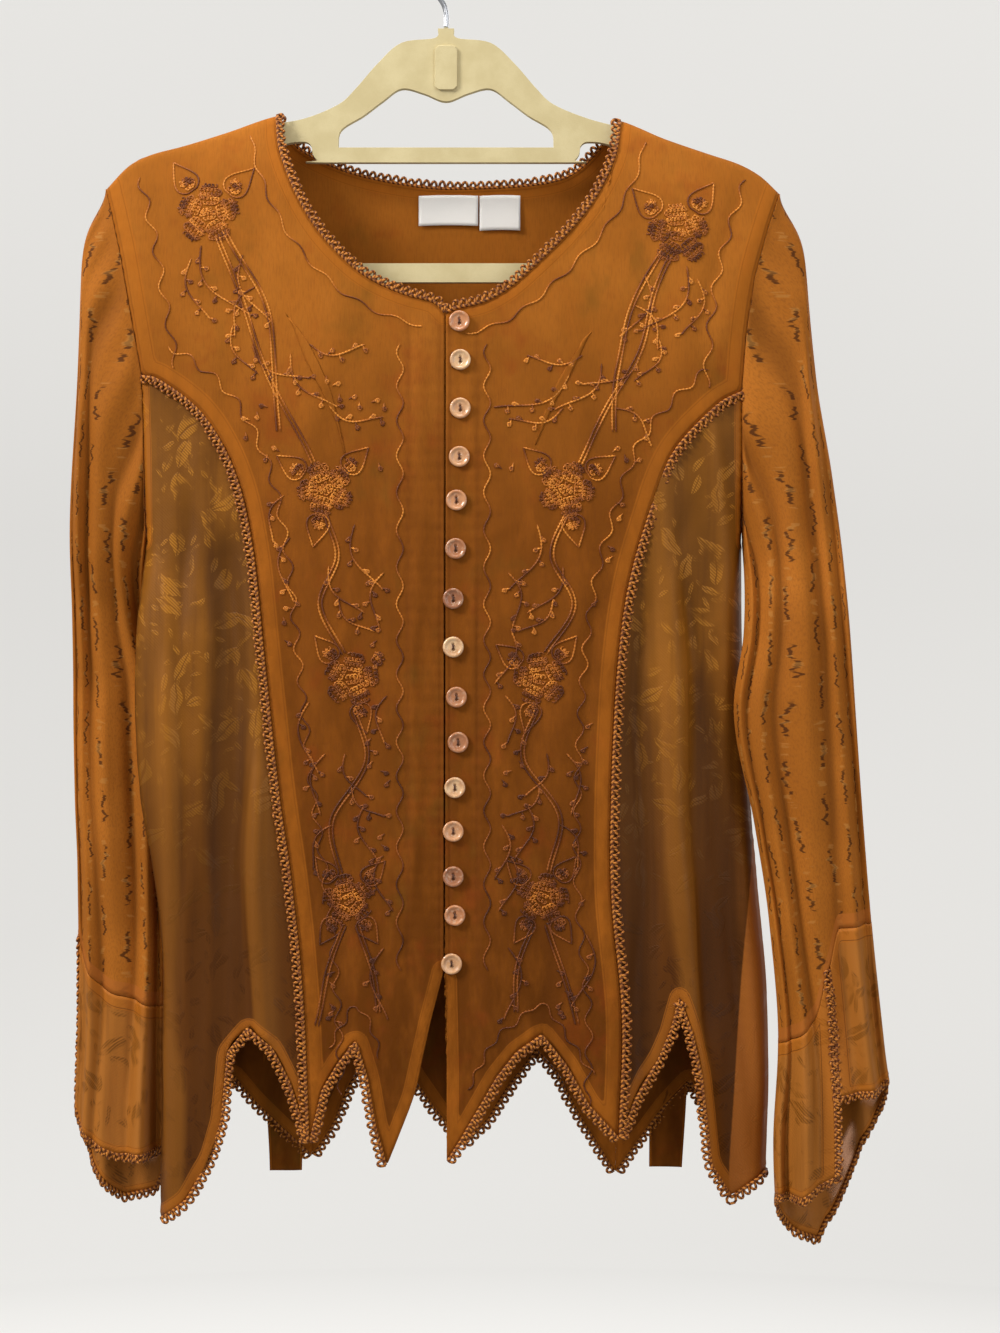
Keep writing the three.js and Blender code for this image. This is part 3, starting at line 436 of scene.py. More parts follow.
def span(edges, s, t):
    """Grid of points between four edges: top, bottom, left and right."""
    top, bottom, left, right = edges
    s_, t_ = s[None, :, None], t[:, None, None]
    grid = left(t)[:, None] * (1 - s_) + right(t)[:, None] * s_
    grid = grid + top(s)[None] * (1 - t_) + bottom(s)[None] * t_
    zero, one = np.array([0.0]), np.array([1.0])
    grid = grid - top(zero)[0] * (1 - s_) * (1 - t_) - top(one)[0] * s_ * (1 - t_)
    return grid - bottom(zero)[0] * (1 - s_) * t_ - bottom(one)[0] * s_ * t_


def evened(plan, down):
    """Evens out the columns inside a panel, where a corner of its edge would bend them."""
    soft = plan.copy()
    for _ in range(EVENING_ROUNDS):
        soft[:, 1:-1] = 0.5 * soft[:, 1:-1] + 0.25 * (soft[:, :-2] + soft[:, 2:])
    share = smooth(0.0, 0.16, down) * smooth(1.0, 0.84, down)
    return plan + (soft - plan) * share[:, None, None]


def creases(seed, x, z):
    """Small uneven soft ridges and troughs, placed by a seeded draw."""
    draw = np.random.default_rng(seed)
    height = np.zeros_like(x)
    for _ in range(CREASES):
        cx, cz = draw.uniform(*CREASE_X), draw.uniform(*CREASE_Z)
        wide, long = draw.uniform(*CREASE_WIDE), draw.uniform(*CREASE_LONG)
        lean, high = draw.uniform(*CREASE_LEAN), draw.uniform(*CREASE_RISE) * draw.choice([-1, 1])
        u = (x - cx) - lean * (z - cz)
        height += high * np.exp(-((u / wide) ** 2) - ((z - cz) / long) ** 2)
    return height


# Mesh making
def new_object(name, data):
    made = bpy.data.objects.new(name, data)
    bpy.context.scene.collection.objects.link(made)
    return made


def mesh_from(name, vertices, faces):
    mesh = bpy.data.meshes.new(name)
    vertices = np.asarray(vertices, np.float32).reshape(-1, 3) * MM
    faces = np.asarray(faces, np.int32)
    mesh.vertices.add(len(vertices))
    mesh.vertices.foreach_set("co", vertices.ravel())
    sides = faces.shape[1]
    mesh.loops.add(faces.size)
    mesh.loops.foreach_set("vertex_index", faces.ravel())
    mesh.polygons.add(len(faces))
    mesh.polygons.foreach_set("loop_start", np.arange(0, faces.size, sides, dtype=np.int32))
    mesh.polygons.foreach_set("loop_total", np.full(len(faces), sides, np.int32))
    mesh.update(calc_edges=True)
    mesh.validate()
    mesh.polygons.foreach_set("use_smooth", np.ones(len(mesh.polygons), bool))
    return new_object(name, mesh)


def grid_faces(rows, columns, wraps=False, flip=False):
    last = columns if wraps else columns - 1
    r, c = np.meshgrid(np.arange(rows - 1), np.arange(last), indexing="ij")
    nxt = (c + 1) % columns
    faces = np.stack([r * columns + c, (r + 1) * columns + c, (r + 1) * columns + nxt, r * columns + nxt], -1)
    faces = faces.reshape(-1, 4)
    return faces[:, ::-1] if flip else faces


def attribute(made, name, values):
    layer = made.data.attributes.new(name, "FLOAT", "POINT")
    layer.data.foreach_set("value", np.asarray(values, np.float32).ravel())


def flat_map(made, u, v):
    """Lays the cloth's own millimetres on its faces as a UV map."""
    mesh = made.data
    layer = mesh.uv_layers.new(name="cloth")
    index = np.empty(len(mesh.loops), np.int32)
    mesh.loops.foreach_get("vertex_index", index)
    both = np.stack([np.ravel(u)[index], np.ravel(v)[index]], -1)
    layer.data.foreach_set("uv", both.astype(np.float32).ravel())


def thicken(made, thickness=CLOTH):
    """Gives a sheet its thickness, inward from its outer face."""
    wall = made.modifiers.new("cloth", "SOLIDIFY")
    wall.thickness = thickness * MM
    wall.offset = -1.0
    wall.use_rim = True


def dress(made, material, slot, *nodes):
    """Gives a piece its material and body, and hides the nodes that it replaces; slot is not used."""
    made.data.materials.append(material)
    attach(made, BODY)
    if nodes:
        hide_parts(*nodes)
    return made


# Shaders
def srgb(red, green, blue):
    linear = []
    for value in (red, green, blue):
        v = value / 255
        linear.append(v / 12.92 if v <= 0.04045 else ((v + 0.055) / 1.055) ** 2.4)
    return (*linear, 1.0)


class Look:
    """A material in the making: its nodes, its base colour and its surface."""

    def __init__(self, name, on_cloth=False):
        self.material = bpy.data.materials.new(name)
        self.material.use_nodes = True
        self.tree = self.material.node_tree
        self.tree.nodes.clear()
        self.shader = self.add("ShaderNodeBsdfPrincipled")
        self.surface = self.shader.outputs[0]
        self.output = self.add("ShaderNodeOutputMaterial", {"Surface": self.surface})
        self.place = self.add("ShaderNodeTexCoord").outputs["Object"]
        if on_cloth:
            self.cloth = self.add("ShaderNodeUVMap", uv_map="cloth").outputs[0]
        self.base = None

    def add(self, kind, values=None, **settings):
        made = self.tree.nodes.new(kind)
        for key, value in settings.items():
            setattr(made, key, value)
        for key, value in (values or {}).items():
            self.put(made, key, value)
        return made

    def put(self, node, key, value):
        """Joins a socket to a node's input, or sets the input's own value."""
        if isinstance(value, bpy.types.NodeSocket):
            self.tree.links.new(value, node.inputs[key])
        else:
            node.inputs[key].default_value = value

    def calc(self, operation, *values):
        return self.add("ShaderNodeMath", dict(enumerate(values)), operation=operation).outputs[0]

    def times(self, first, second):
        return self.calc("MULTIPLY", first, second)

    def vector(self, operation, first, second):
        return self.add("ShaderNodeVectorMath", {0: first, 1: second}, operation=operation).outputs[0]

    def parts(self, vector):
        return self.add("ShaderNodeSeparateXYZ", {0: vector}).outputs

    def read(self, name):
        return self.add("ShaderNodeAttribute", attribute_name=name).outputs["Fac"]

    def ramp(self, value, low, high, first=0.0, last=1.0):
        ends = {"Value": value, "From Min": low, "From Max": high, "To Min": first, "To Max": last}
        return self.add("ShaderNodeMapRange", ends, interpolation_type="SMOOTHSTEP").outputs[0]

    def noise(self, vector, scale, detail=3.0, rough=0.55, stretch=None):
        if stretch:
            vector = self.add("ShaderNodeMapping", {"Vector": vector, "Scale": stretch}).outputs[0]
        values = {"Vector": vector, "Scale": scale, "Detail": detail, "Roughness": rough}
        return self.add("ShaderNodeTexNoise", values).outputs[0]

    def line_at(self, distance, place, wide):
        """A soft line where a distance takes one value."""
        away = self.calc("ABSOLUTE", self.calc("SUBTRACT", distance, place))
        return self.ramp(away, wide, wide * 0.3)

    def blend(self, factor, first, second):
        """Mixes two colours, each a socket or its red, green and blue from 0 to 255."""
        ends = [srgb(*value) if isinstance(value, tuple) else value for value in (first, second)]
        return self.add("ShaderNodeMix", {0: factor, 6: ends[0], 7: ends[1]}, data_type="RGBA").outputs[2]

    def tint(self, amount, colour):
        self.base = self.blend(amount, self.base, colour)

    def tint_from(self, value, low, high, most, colour):
        """Tints the base more as a value goes from low to high, and at most by a share."""
        self.tint(self.ramp(value, low, high, 0.0, most), colour)

    def weave(self, pitch):
        """Height of a plain weave, with uneven threads."""
        across, along, _ = self.parts(self.cloth)
        slub = self.noise(self.cloth, 0.5, 2.0, stretch=(3.0, 0.25, 1.0))
        u = self.calc("MULTIPLY_ADD", across, 2 * math.pi / pitch, slub)
        v = self.times(along, 2 * math.pi / pitch)
        return self.times(self.calc("SINE", u), self.calc("SINE", v))

    def bump(self, *heights):
        """Bumps from coarse to fine: (height, strength, millimetres)."""
        values = {}
        for height, strength, size in heights:
            values |= {"Height": height, "Strength": strength, "Distance": size * MM}
            values["Normal"] = self.add("ShaderNodeBump", values).outputs[0]
        self.put(self.shader, "Normal", values["Normal"])

    def let_through(self, share, kind, **values):
        """Mixes a share of light that comes through into the surface."""
        light = self.add(kind, values)
        mixed = self.add("ShaderNodeMixShader", {0: share, 1: self.surface, 2: light.outputs[0]})
        self.surface = mixed.outputs[0]
        self.put(self.output, "Surface", self.surface)

    def finish(self, rough, specular=0.5, sheen=None, more=None):
        """Sets the finish; sheen is its weight, roughness and colour."""
        values = {"Base Color": self.base, "Roughness": rough, "Specular IOR Level": specular, **(more or {})}
        if sheen:
            weight, sheen_rough, tone = sheen
            values |= {"Sheen Weight": weight, "Sheen Roughness": sheen_rough, "Sheen Tint": srgb(*tone)}
        for key, value in values.items():
            self.put(self.shader, key, value)
        return self.material


# Places on and near polylines in the plane of the body
def seam_place(x, z, line):
    """Each point's distance to a polyline, and how far along it the nearest place lies."""
    flat = np.stack([np.ravel(x), np.ravel(z)], -1)
    best = np.full(len(flat), 1e9)
    along = np.zeros(len(flat))
    reach = lengths_of(line)
    for i in range(len(line) - 1):
        run = line[i + 1] - line[i]
        size = float(np.hypot(*run))
        if size < 1e-6:
            continue
        t = np.clip(((flat - line[i]) @ run) / size**2, 0, 1)
        away = np.linalg.norm(flat - line[i] - t[:, None] * run, axis=1)
        nearer = away < best
        best[nearer] = away[nearer]
        along[nearer] = reach[i] + t[nearer] * size
    return best.reshape(np.shape(x)), along.reshape(np.shape(x))


def resampled(points, step):
    reach = lengths_of(points)
    count = max(int(round(reach[-1] / step)), 2)
    return reader(points, reach)(np.linspace(0, reach[-1], count + 1))


def normals_2d(points):
    run = unit(np.gradient(points, axis=0))
    return np.stack([run[:, 1], -run[:, 0]], -1)


def shifted(points, distance):
    """A polyline moved sideways, with its kinks smoothed away."""
    return softened(points + normals_2d(points) * distance, 6)


def waved(points, height, length):
    fine = resampled(points, 1.2)
    reach = lengths_of(fine)
    sway = height * np.sin(2 * np.pi * reach / length + 0.6 * np.sin(reach / 37))
    return fine + normals_2d(fine) * sway[:, None]


# Small creases listed for each face: from x, z to x, z, half width, rise
DRAGS = {
    "front": [
        (-196, -160, -172, -262, 7, 1.3), (-186, -150, -166, -250, 5, -1.0),
        (-150, -140, -147, -330, 12, 1.0),
        (-120, -130, -128, -300, 8, -0.9), (-60, -230, -84, -330, 9, 1.1), (-30, -250, -46, -420, 8, -0.8),
        (-14, -262, -22, -640, 4, 0.9), (-90, -330, -70, -520, 10, 1.2), (-52, -420, -66, -640, 8, -1.1),
        (-34, -470, -30, -720, 9, 1.3), (-76, -560, -60, -700, 7, -0.9), (196, -165, 170, -275, 7, 1.3),
        (184, -155, 160, -262, 5, -1.0), (150, -150, 146, -320, 12, 1.1), (118, -140, 126, -300, 8, -0.9),
        (62, -225, 88, -340, 9, 1.1), (34, -245, 48, -400, 8, -0.9), (17, -262, 20, -630, 4, 0.8),
        (92, -340, 72, -520, 10, 1.2), (52, -430, 66, -640, 8, -1.1), (36, -480, 30, -720, 9, 1.3),
        (84, -560, 64, -700, 7, -0.9), (-178, -400, -150, -470, 6, 1.2), (-160, -360, -132, -420, 6, -1.0),
        (176, -400, 152, -470, 6, 1.2), (160, -350, 138, -410, 6, -1.0), (-130, -560, -128, -790, 5, 1.4),
        (-154, -600, -158, -800, 5, -1.3), (132, -560, 138, -780, 5, 1.4), (160, -600, 172, -790, 5, -1.3),
        (118, -500, 120, -640, 4, 1.0), (-118, -480, -112, -640, 4, 1.0), (-40, -360, 2, -372, 5, 0.6),
        (-44, -500, 2, -492, 5, 0.6), (12, -385, 52, -372, 5, 0.6), (12, -520, 50, -534, 5, 0.6),
        (-134, -380, -126, -760, 8, -3.2), (-150, -420, -146, -800, 7, 2.8),
        (-162, -340, -166, -720, 6, -2.6),
        (-172, -460, -172, -800, 4, 1.8), (-118, -520, -112, -720, 5, 2.0), (122, -420, 122, -740, 6, -2.6),
        (136, -330, 150, -640, 8, 2.8), (150, -400, 164, -700, 6, -3.2), (168, -300, 184, -640, 6, 2.6),
        (176, -500, 192, -780, 5, -2.8), (-70, -600, -66, -740, 8, -1.8), (58, -600, 72, -740, 8, -1.8),
        (-20, -560, -14, -700, 6, 1.4), (24, -600, 22, -740, 6, 1.4), (-92, -420, -84, -640, 6, -1.2),
        (90, -420, 90, -640, 6, -1.2), (-156, -320, -166, -390, 7, 1.2), (160, -325, 168, -390, 7, 1.2),
    ],
    "back": [
        (-190, -160, -150, -300, 10, 1.2), (190, -160, 150, -300, 10, 1.2), (-90, -180, -70, -420, 12, 1.2),
        (96, -180, 74, -430, 12, 1.2), (0, -200, 6, -500, 14, 1.3), (-40, -420, -30, -760, 9, -1.4),
        (30, -430, 34, -760, 9, 1.4), (-150, -560, -150, -780, 7, 1.4), (150, -560, 154, -780, 7, -1.4),
        (-114, -520, -60, -530, 6, 1.1), (136, -520, 80, -532, 6, 1.1), (-108, -540, -50, -600, 6, -0.9),
        (134, -540, 76, -600, 6, -0.9),
    ],
}


def drag_height(side, x, z):
    """Height of the listed creases of one face."""
    height = np.zeros(np.shape(x))
    for x1, z1, x2, z2, wide, rise in DRAGS[side]:
        run = np.array([x2 - x1, z2 - z1], float)
        size = np.hypot(*run)
        u = ((x - x1) * run[0] + (z - z1) * run[1]) / size
        v = ((x - x1) * run[1] - (z - z1) * run[0]) / size
        v = v + 2.5 * np.sin(u / 31 + x1)
        fade = smooth(-14, 30, u) * smooth(size + 14, size - 30, u)
        height += rise * fade * np.exp(-((v / wide) ** 2))
    return height


# Edge of the plain strip on the right side front: distance down, x
PLAIN_EDGE = [(500, 205), (560, 194), (620, 188), (700, 182), (780, 177)]


class Panel:
    """A body panel: its plan, its bands of sewing and its fine relief."""

    def __init__(self, name, face, edges, bands, seed, grooves=()):
        self.name = name
        self.face = face
        self.edges = edges
        self.bands = bands
        self.seed = seed
        self.grooves = grooves
        self.side = "front" if face is FRONT else "back"

    def relief(self, x, z):
        """Height of the fine relief, and each point's distance to the nearest seam in band widths."""
        out = drag_height(self.side, x, z) + creases(self.seed, x, z)
        band = np.full(np.shape(x), 9.0)
        for line, width in self.bands:
            away, along = seam_place(x, z, line)
            ripple = np.sin(2 * np.pi * along / 7.3 + 2.2 * np.sin(along / 19))
            out += 0.32 * np.exp(-away / (0.7 * width)) * ripple
            out -= 0.45 * np.exp(-((away / 1.1) ** 2))
            band = np.minimum(band, away / width)
        out += 0.3 * smooth(1.06, 0.98, band) - 0.3 * np.exp(-(((band - 0.86) / 0.05) ** 2))
        for line in self.grooves:
            away, along = seam_place(x, z, line)
            out -= 0.4 * np.exp(-((away / 0.9) ** 2)) * (0.8 + 0.2 * np.sin(along * 1.4))
            out += 0.22 * np.exp(-away / 6) * np.sin(along / 1.3 + np.sin(along / 17))
        return out, band

    def surface(self, x, z, lift=0.0):
        out, _ = self.relief(x, z)
        return body_point(self.face, x, z, out + lift)

    def build(self, columns, rows, material, slot, shoulder=False):
        across = np.linspace(0, 1, columns)
        down = np.linspace(0, 1, rows)
        if shoulder:
            fine = np.array([0, 0.0004, 0.0012, 0.0025, 0.0045, 0.007])
            down = np.concatenate([fine, np.linspace(0.0105, 1, rows)])
        plan = evened(span(self.edges, across, down), down)
        x, z = plan[..., 0], plan[..., 1]
        out, band = self.relief(x, z)
        if shoulder:
            out = out * smooth(0, 8, shoulder_line(x) - z)
        points = body_point(self.face, x, z, out)
        faces = grid_faces(len(down), columns, flip=self.face is BACK)
        made = mesh_from(self.name + "_cloth", points, faces)
        attribute(made, "band", np.clip(BAND_REACH - band, 0, BAND_REACH))
        # How deep in a fold each point lies, for painted shade in the troughs and a painted highlight on the
        # ridges
        folds = fold_height(self.face["folds"], x, z) + drag_height(self.side, x, z)
        attribute(made, "painted_fold_shade", np.clip(0.5 - folds / 8, 0, 1))
        if self.name == "side_front_right":
            edge_down, edge_x = zip(*PLAIN_EDGE)
            attribute(made, "plain", np.clip(0.5 + (x - np.interp(-z, edge_down, edge_x)) / 40, 0, 1))
        if self.grooves:
            away = np.min([seam_place(x, z, line)[0] for line in self.grooves], axis=0)
            attribute(made, "groove", np.exp(-((away / 1.4) ** 2)))
        flat_map(made, x, z)
        thicken(made)
        return dress(made, material, slot, self.name)


# Tubes laid along many short centre lines at once
def tubes(centres, ups, wide, high, sides=5):
    """centres and ups are lines by rings by 3. Gives vertices and faces of open-ended tubes."""
    count, rings, _ = centres.shape
    run = unit(np.gradient(centres, axis=1))
    side = unit(np.cross(run, ups))
    lift = np.cross(side, run)
    angle = (2 * np.pi * np.arange(sides + 1) / sides - np.pi / 2)[:, None]
    across = side[:, :, None] * np.cos(angle) * wide[..., None, None]
    along = lift[:, :, None] * np.sin(angle) * high[..., None, None]
    vertices = centres[:, :, None] + (across + along)
    faces = grid_faces(rings, sides + 1)
    step = rings * (sides + 1)
    every = faces[None] + (np.arange(count) * step)[:, None, None]
    return vertices.reshape(-1, 3), every.reshape(-1, 4)


def picot_braid(name, node, place, length, lift=0.0):
    """Twisted cord with a loop at every pitch. place(s, out, high) gives points in space."""
    count = max(int(round(length / PICOT_PITCH)), 1)
    pitch = length / count
    start = (np.arange(count) + 0.5) * pitch
    turn = np.linspace(-0.25, np.pi + 0.25, 9)
    s = start[:, None] - 0.36 * pitch * np.cos(turn)[None]
    draw = np.random.default_rng(len(node) * 31 + count)
    tall = PICOT_HEIGHT * draw.uniform(0.86, 1.12, count)
    out = 1.4 + tall[:, None] * np.sin(turn)[None]
    high = lift + 0.6 + 0.5 * np.sin(turn * 2)[None] * draw.uniform(-1, 1, count)[:, None]
    s = np.clip(s + draw.uniform(-0.3, 0.3, count)[:, None], 0.05, length - 0.05)
    round_share = np.arange(6)[None, None] / 5
    reach = np.arange(0.2, length - 0.2, 1.1)[None]
    cord_out = 0.8 + 0.12 * np.sin(reach * 1.9)
    cord_high = np.full(reach.shape, lift + 0.4)
    loop_twist = s * 0 + np.linspace(0, 3.2, 9)[None]

    points, faces, twists = [], [], []
    for at, away, above, thick, flat, twist in (
        (s, out, high, PICOT_THICK, 1.0, loop_twist),
        (reach, cord_out, cord_high, CORD_THICK, 0.85, reach / 3.1),
    ):
        centres = place(at, away, above)
        ups = place(at, away, above + 1.0) - centres
        wide = np.full(at.shape, thick)
        tube_points, tube_faces = tubes(centres, ups, wide, wide * flat)
        faces.append(tube_faces + sum(map(len, points)))
        points.append(tube_points)
        twists.append((twist[:, :, None] + round_share).ravel())
    made = mesh_from(name, np.vstack(points), np.vstack(faces))
    attribute(made, "twist", np.concatenate(twists))
    return dress(made, BRAID, "braid", node)


def body_braid(name, node, face, rows, outward, lift=0.0):
    """Braid along a line of the body, with its loops on the outward side."""
    line = softened(resampled(np.array(rows, float), 1.0), 2)
    reach = lengths_of(line)
    side = unit(softened(normals_2d(line) * outward, 3))
    on_line, aside = reader(line, reach), reader(side, reach)

    def place(s, out, high):
        flat = on_line(s) + aside(s) * out[..., None]
        return body_point(face, flat[..., 0], flat[..., 1], high)

    return picot_braid(name, node, place, reach[-1], lift)


# Sleeves and cuffs
def rounded(value, power):
    return np.sign(value) * np.abs(value) ** power


# Long folds down the sleeves: place round, half width round, rise, top, foot
SLEEVE_FOLDS = {
    "left": [
        (0.08, 0.020, 2.0, -300, -900), (0.12, 0.022, -4.2, -210, -900), (0.17, 0.026, 3.2, -240, -900),
        (0.22, 0.016, -3.0, -190, -900), (0.27, 0.022, 2.4, -200, -900), (0.32, 0.018, -3.6, -180, -900),
        (0.37, 0.018, 2.8, -260, -900), (0.42, 0.016, -2.4, -230, -700), (0.62, 0.04, 2.4, -260, -900),
        (0.72, 0.035, -2.6, -240, -900), (0.84, 0.04, 2.4, -280, -900), (0.93, 0.03, -1.8, -300, -900),
    ],
    "right": [
        (0.07, 0.020, 2.4, -260, -900), (0.11, 0.018, -3.4, -220, -900), (0.16, 0.022, 3.2, -200, -900),
        (0.20, 0.016, -3.6, -240, -900), (0.25, 0.020, 3.0, -190, -900), (0.30, 0.020, -4.0, -180, -900),
        (0.35, 0.018, 2.8, -230, -900), (0.40, 0.020, -3.0, -260, -900), (0.45, 0.016, 1.8, -330, -760),
        (0.60, 0.035, -2.4, -250, -900), (0.71, 0.04, 2.6, -260, -900), (0.83, 0.035, -2.4, -260, -900),
        (0.92, 0.03, 2.0, -300, -900),
    ],
}


class Sleeve:
    """A sleeve and its cuff as one surface: around runs from 0 to 1, z runs down."""

    def __init__(self, side):
        rows = RINGS[side]
        self.side = side
        self.out = OUTWARD[side]
        self.inner, self.outer, self.middle, self.depth = (table_curve(rows, 0, k) for k in range(1, 5))
        self.armhole = corner_curve(ARMHOLE[side], 0, 1)
        self.top = ARMHOLE[side][0][0]
        self.seam = table_curve(CUFFS[side]["seam"], 0, 1)
        self.hem = corner_curve(CUFFS[side]["hem"], 0, 1)

    def hanging(self, around, z):
        """Place of the free cloth."""
        turn = 2 * np.pi * around
        centre = (self.inner(z) + self.outer(z)) / 2
        reach = np.abs(self.outer(z) - self.inner(z)) / 2
        wave = 1 + 0.16 * np.sin(5 * turn + z / 70) * smooth(ARMPIT_Z + 120, ARMPIT_Z - 40, z)
        x = centre - self.out * reach * rounded(np.cos(turn), 2 / BULGE_ALONG)
        y = self.middle(z) - self.depth(z) * wave * rounded(np.sin(turn), 2 / BULGE_ROUND)
        return x, y

    def start(self, around):
        """Place of the armhole seam."""
        climb = (1 - np.cos(2 * np.pi * around)) / 2
        z = ARMPIT_Z + (self.top - ARMPIT_Z) * climb
        x = self.armhole(z)
        y = np.where(around <= 0.5, body_place(FRONT, x, z), body_place(BACK, x, z))
        return np.stack([x + self.out * (EDGE_EASE + UNDERARM_EASE * (1 - climb)), y, z], -1)

    def folds(self, around, z):
        height = np.zeros(np.shape(z))
        for place, wide, rise, low, high in SLEEVE_FOLDS[self.side]:
            away = (around - place + 0.5 + 0.012 * np.sin(z / 47 + place * 9)) % 1 - 0.5
            fades = smooth(low, low - 70, z) * smooth(high, high + 90, z)
            height = height + 0.95 * rise * fades * np.exp(-((away / wide) ** 2))
        return height

    def point(self, around, z, gather=0.0):
        around, z = np.broadcast_arrays(np.asarray(around, float), np.asarray(z, float))
        start = self.start(around)
        top = start[..., 2]
        drop = np.maximum(top - z, 0)
        here_x, here_y = self.hanging(around, z)
        there_x, there_y = self.hanging(around, top)
        hold_x = np.exp(-((drop / (22 + 11 * (1 + np.cos(2 * np.pi * around)))) ** 2))
        hold_y = np.exp(-drop / 14)
        seam = self.seam(around)
        flare = 1 + CUFF_FLARE * smooth(seam, seam - 90, z)
        wave = CUFF_RUFFLE * smooth(seam, seam - 60, z) * np.sin(14 * np.pi * around)
        middle = self.middle(z)
        y = here_y + (start[..., 1] - there_y) * hold_y
        x = here_x + (start[..., 0] - there_x) * hold_x
        share = np.sign(y - middle) * np.minimum(np.abs(y - middle) / 4, 1)
        pucker = np.sin(2 * np.pi * around * 23 + 2 * np.sin(9 * around)) * np.exp(-drop / 40)
        fold = (self.folds(around, z) + gather * pucker) * smooth(0, 22, drop)
        y = middle + (y - middle) * flare + (wave + fold) * share
        return np.stack([x, y, z + 0 * x], -1)


SLEEVES = {side: Sleeve(side) for side in SIDES}


def sleeve(side):
    shape = SLEEVES[side]
    columns, rows = 132, 150
    around = np.arange(columns) / columns
    start = shape.start(around)
    down = (np.linspace(0, 1, rows) ** 1.2)[:, None]
    z = start[None, :, 2] + (shape.seam(around)[None] - start[None, :, 2]) * down
    around_all = np.broadcast_to(around, z.shape)
    points = shape.point(around_all, z, SLEEVE_GATHER)
    points[0] = start
    faces = grid_faces(rows, columns, wraps=True, flip=side == "right")
    made = mesh_from(f"sleeve_{side}_cloth", points, faces)
    reach = shape.seam(around)[None] - z
    attribute(made, "band", np.clip(BAND_REACH + reach / 9, 0, BAND_REACH) * (down > 0.4))
    # How deep in a sleeve fold each point lies, for painted shade in the troughs
    attribute(made, "painted_fold_shade", np.clip(0.5 - shape.folds(around_all, z) / 9, 0, 1))
    attribute(made, "around", np.abs(around_all - 0.5))
    attribute(made, "down", z)
    thicken(made, SLEEVE_CLOTH)
    return dress(made, SHEER, "sheer", f"sleeve_{side}")


def cuff_place(side, share, down):
    """Point of a cuff at a share of its way round from the slit, and of its way down."""
    shape = SLEEVES[side]
    slit = CUFFS[side]["slit"]
    part = np.clip(share, 0.004, 0.996)
    around = (slit + part) % 1
    hem_around = (slit + np.clip(part, 0.006, 0.994)) % 1
    top, foot = shape.seam(around), shape.hem(hem_around)
    return around, top - 0.4 + (foot - top) * down


def cuff(side):
    columns, rows = 170, 44
    down, share = np.meshgrid(np.linspace(0, 1, rows), np.linspace(0, 1, columns), indexing="ij")
    around, z = cuff_place(side, share, down)
    shape = SLEEVES[side]
    faces = grid_faces(rows, columns, flip=side == "right")
    made = mesh_from(f"cuff_{side}_cloth", shape.point(around, z), faces)
    edge = np.minimum(np.minimum(share, 1 - share) * 150, np.abs(z - shape.hem(around)))
    seam = shape.seam(around) - z
    band = np.minimum(edge / 4.5, seam / 9)
    attribute(made, "band", np.clip(BAND_REACH - band, 0, BAND_REACH))
    attribute(made, "foot", smooth(0.72, 0.8, down) * smooth(0.4, 0.55, around) * smooth(1, 1.3, band))
    flat_map(made, share * 210 + (500 if side == "right" else 0), z)
    thicken(made, CUFF_CLOTH)
    return dress(made, FLOUNCE, "figured_rayon", f"cuff_{side}")


def cuff_braid(side):
    """Braid down one slit edge, round the hem and up the other."""
    edge, hem = 40, 260
    share = np.concatenate([np.full(edge, 0.0), np.linspace(0, 1, hem), np.full(edge, 1.0)])
    down = np.concatenate([np.linspace(0.03, 1, edge), np.full(hem, 1.0), np.linspace(1, 0.03, edge)])
    around, z = cuff_place(side, share, down)
    shape = SLEEVES[side]
    line = shape.point(around, z)
    slit_way = np.concatenate([np.full(edge, -1.0), np.zeros(hem), np.full(edge, 1.0)])
    drop_way = softened(1 - np.abs(slit_way), 4)
    slit_way = softened(slit_way, 4)
    beside = unit(shape.point((around + 0.004) % 1, z) - line)
    down_way = np.zeros_like(line)
    down_way[:, 2] = -1
    out_way = unit(beside * slit_way[:, None] + down_way * drop_way[:, None])
    up_way = unit(np.cross(beside, down_way) * -OUTWARD[side])
    reach = lengths_of(line)
    on_line, aside, above = (reader(values, reach) for values in (line, out_way, up_way))

    def place(s, out, high):
        return on_line(s) + aside(s) * out[..., None] + above(s) * high[..., None]

    return picot_braid(f"cuff_{side}_picots", f"cuff_trim_{side}", place, reach[-1], lift=-0.6)


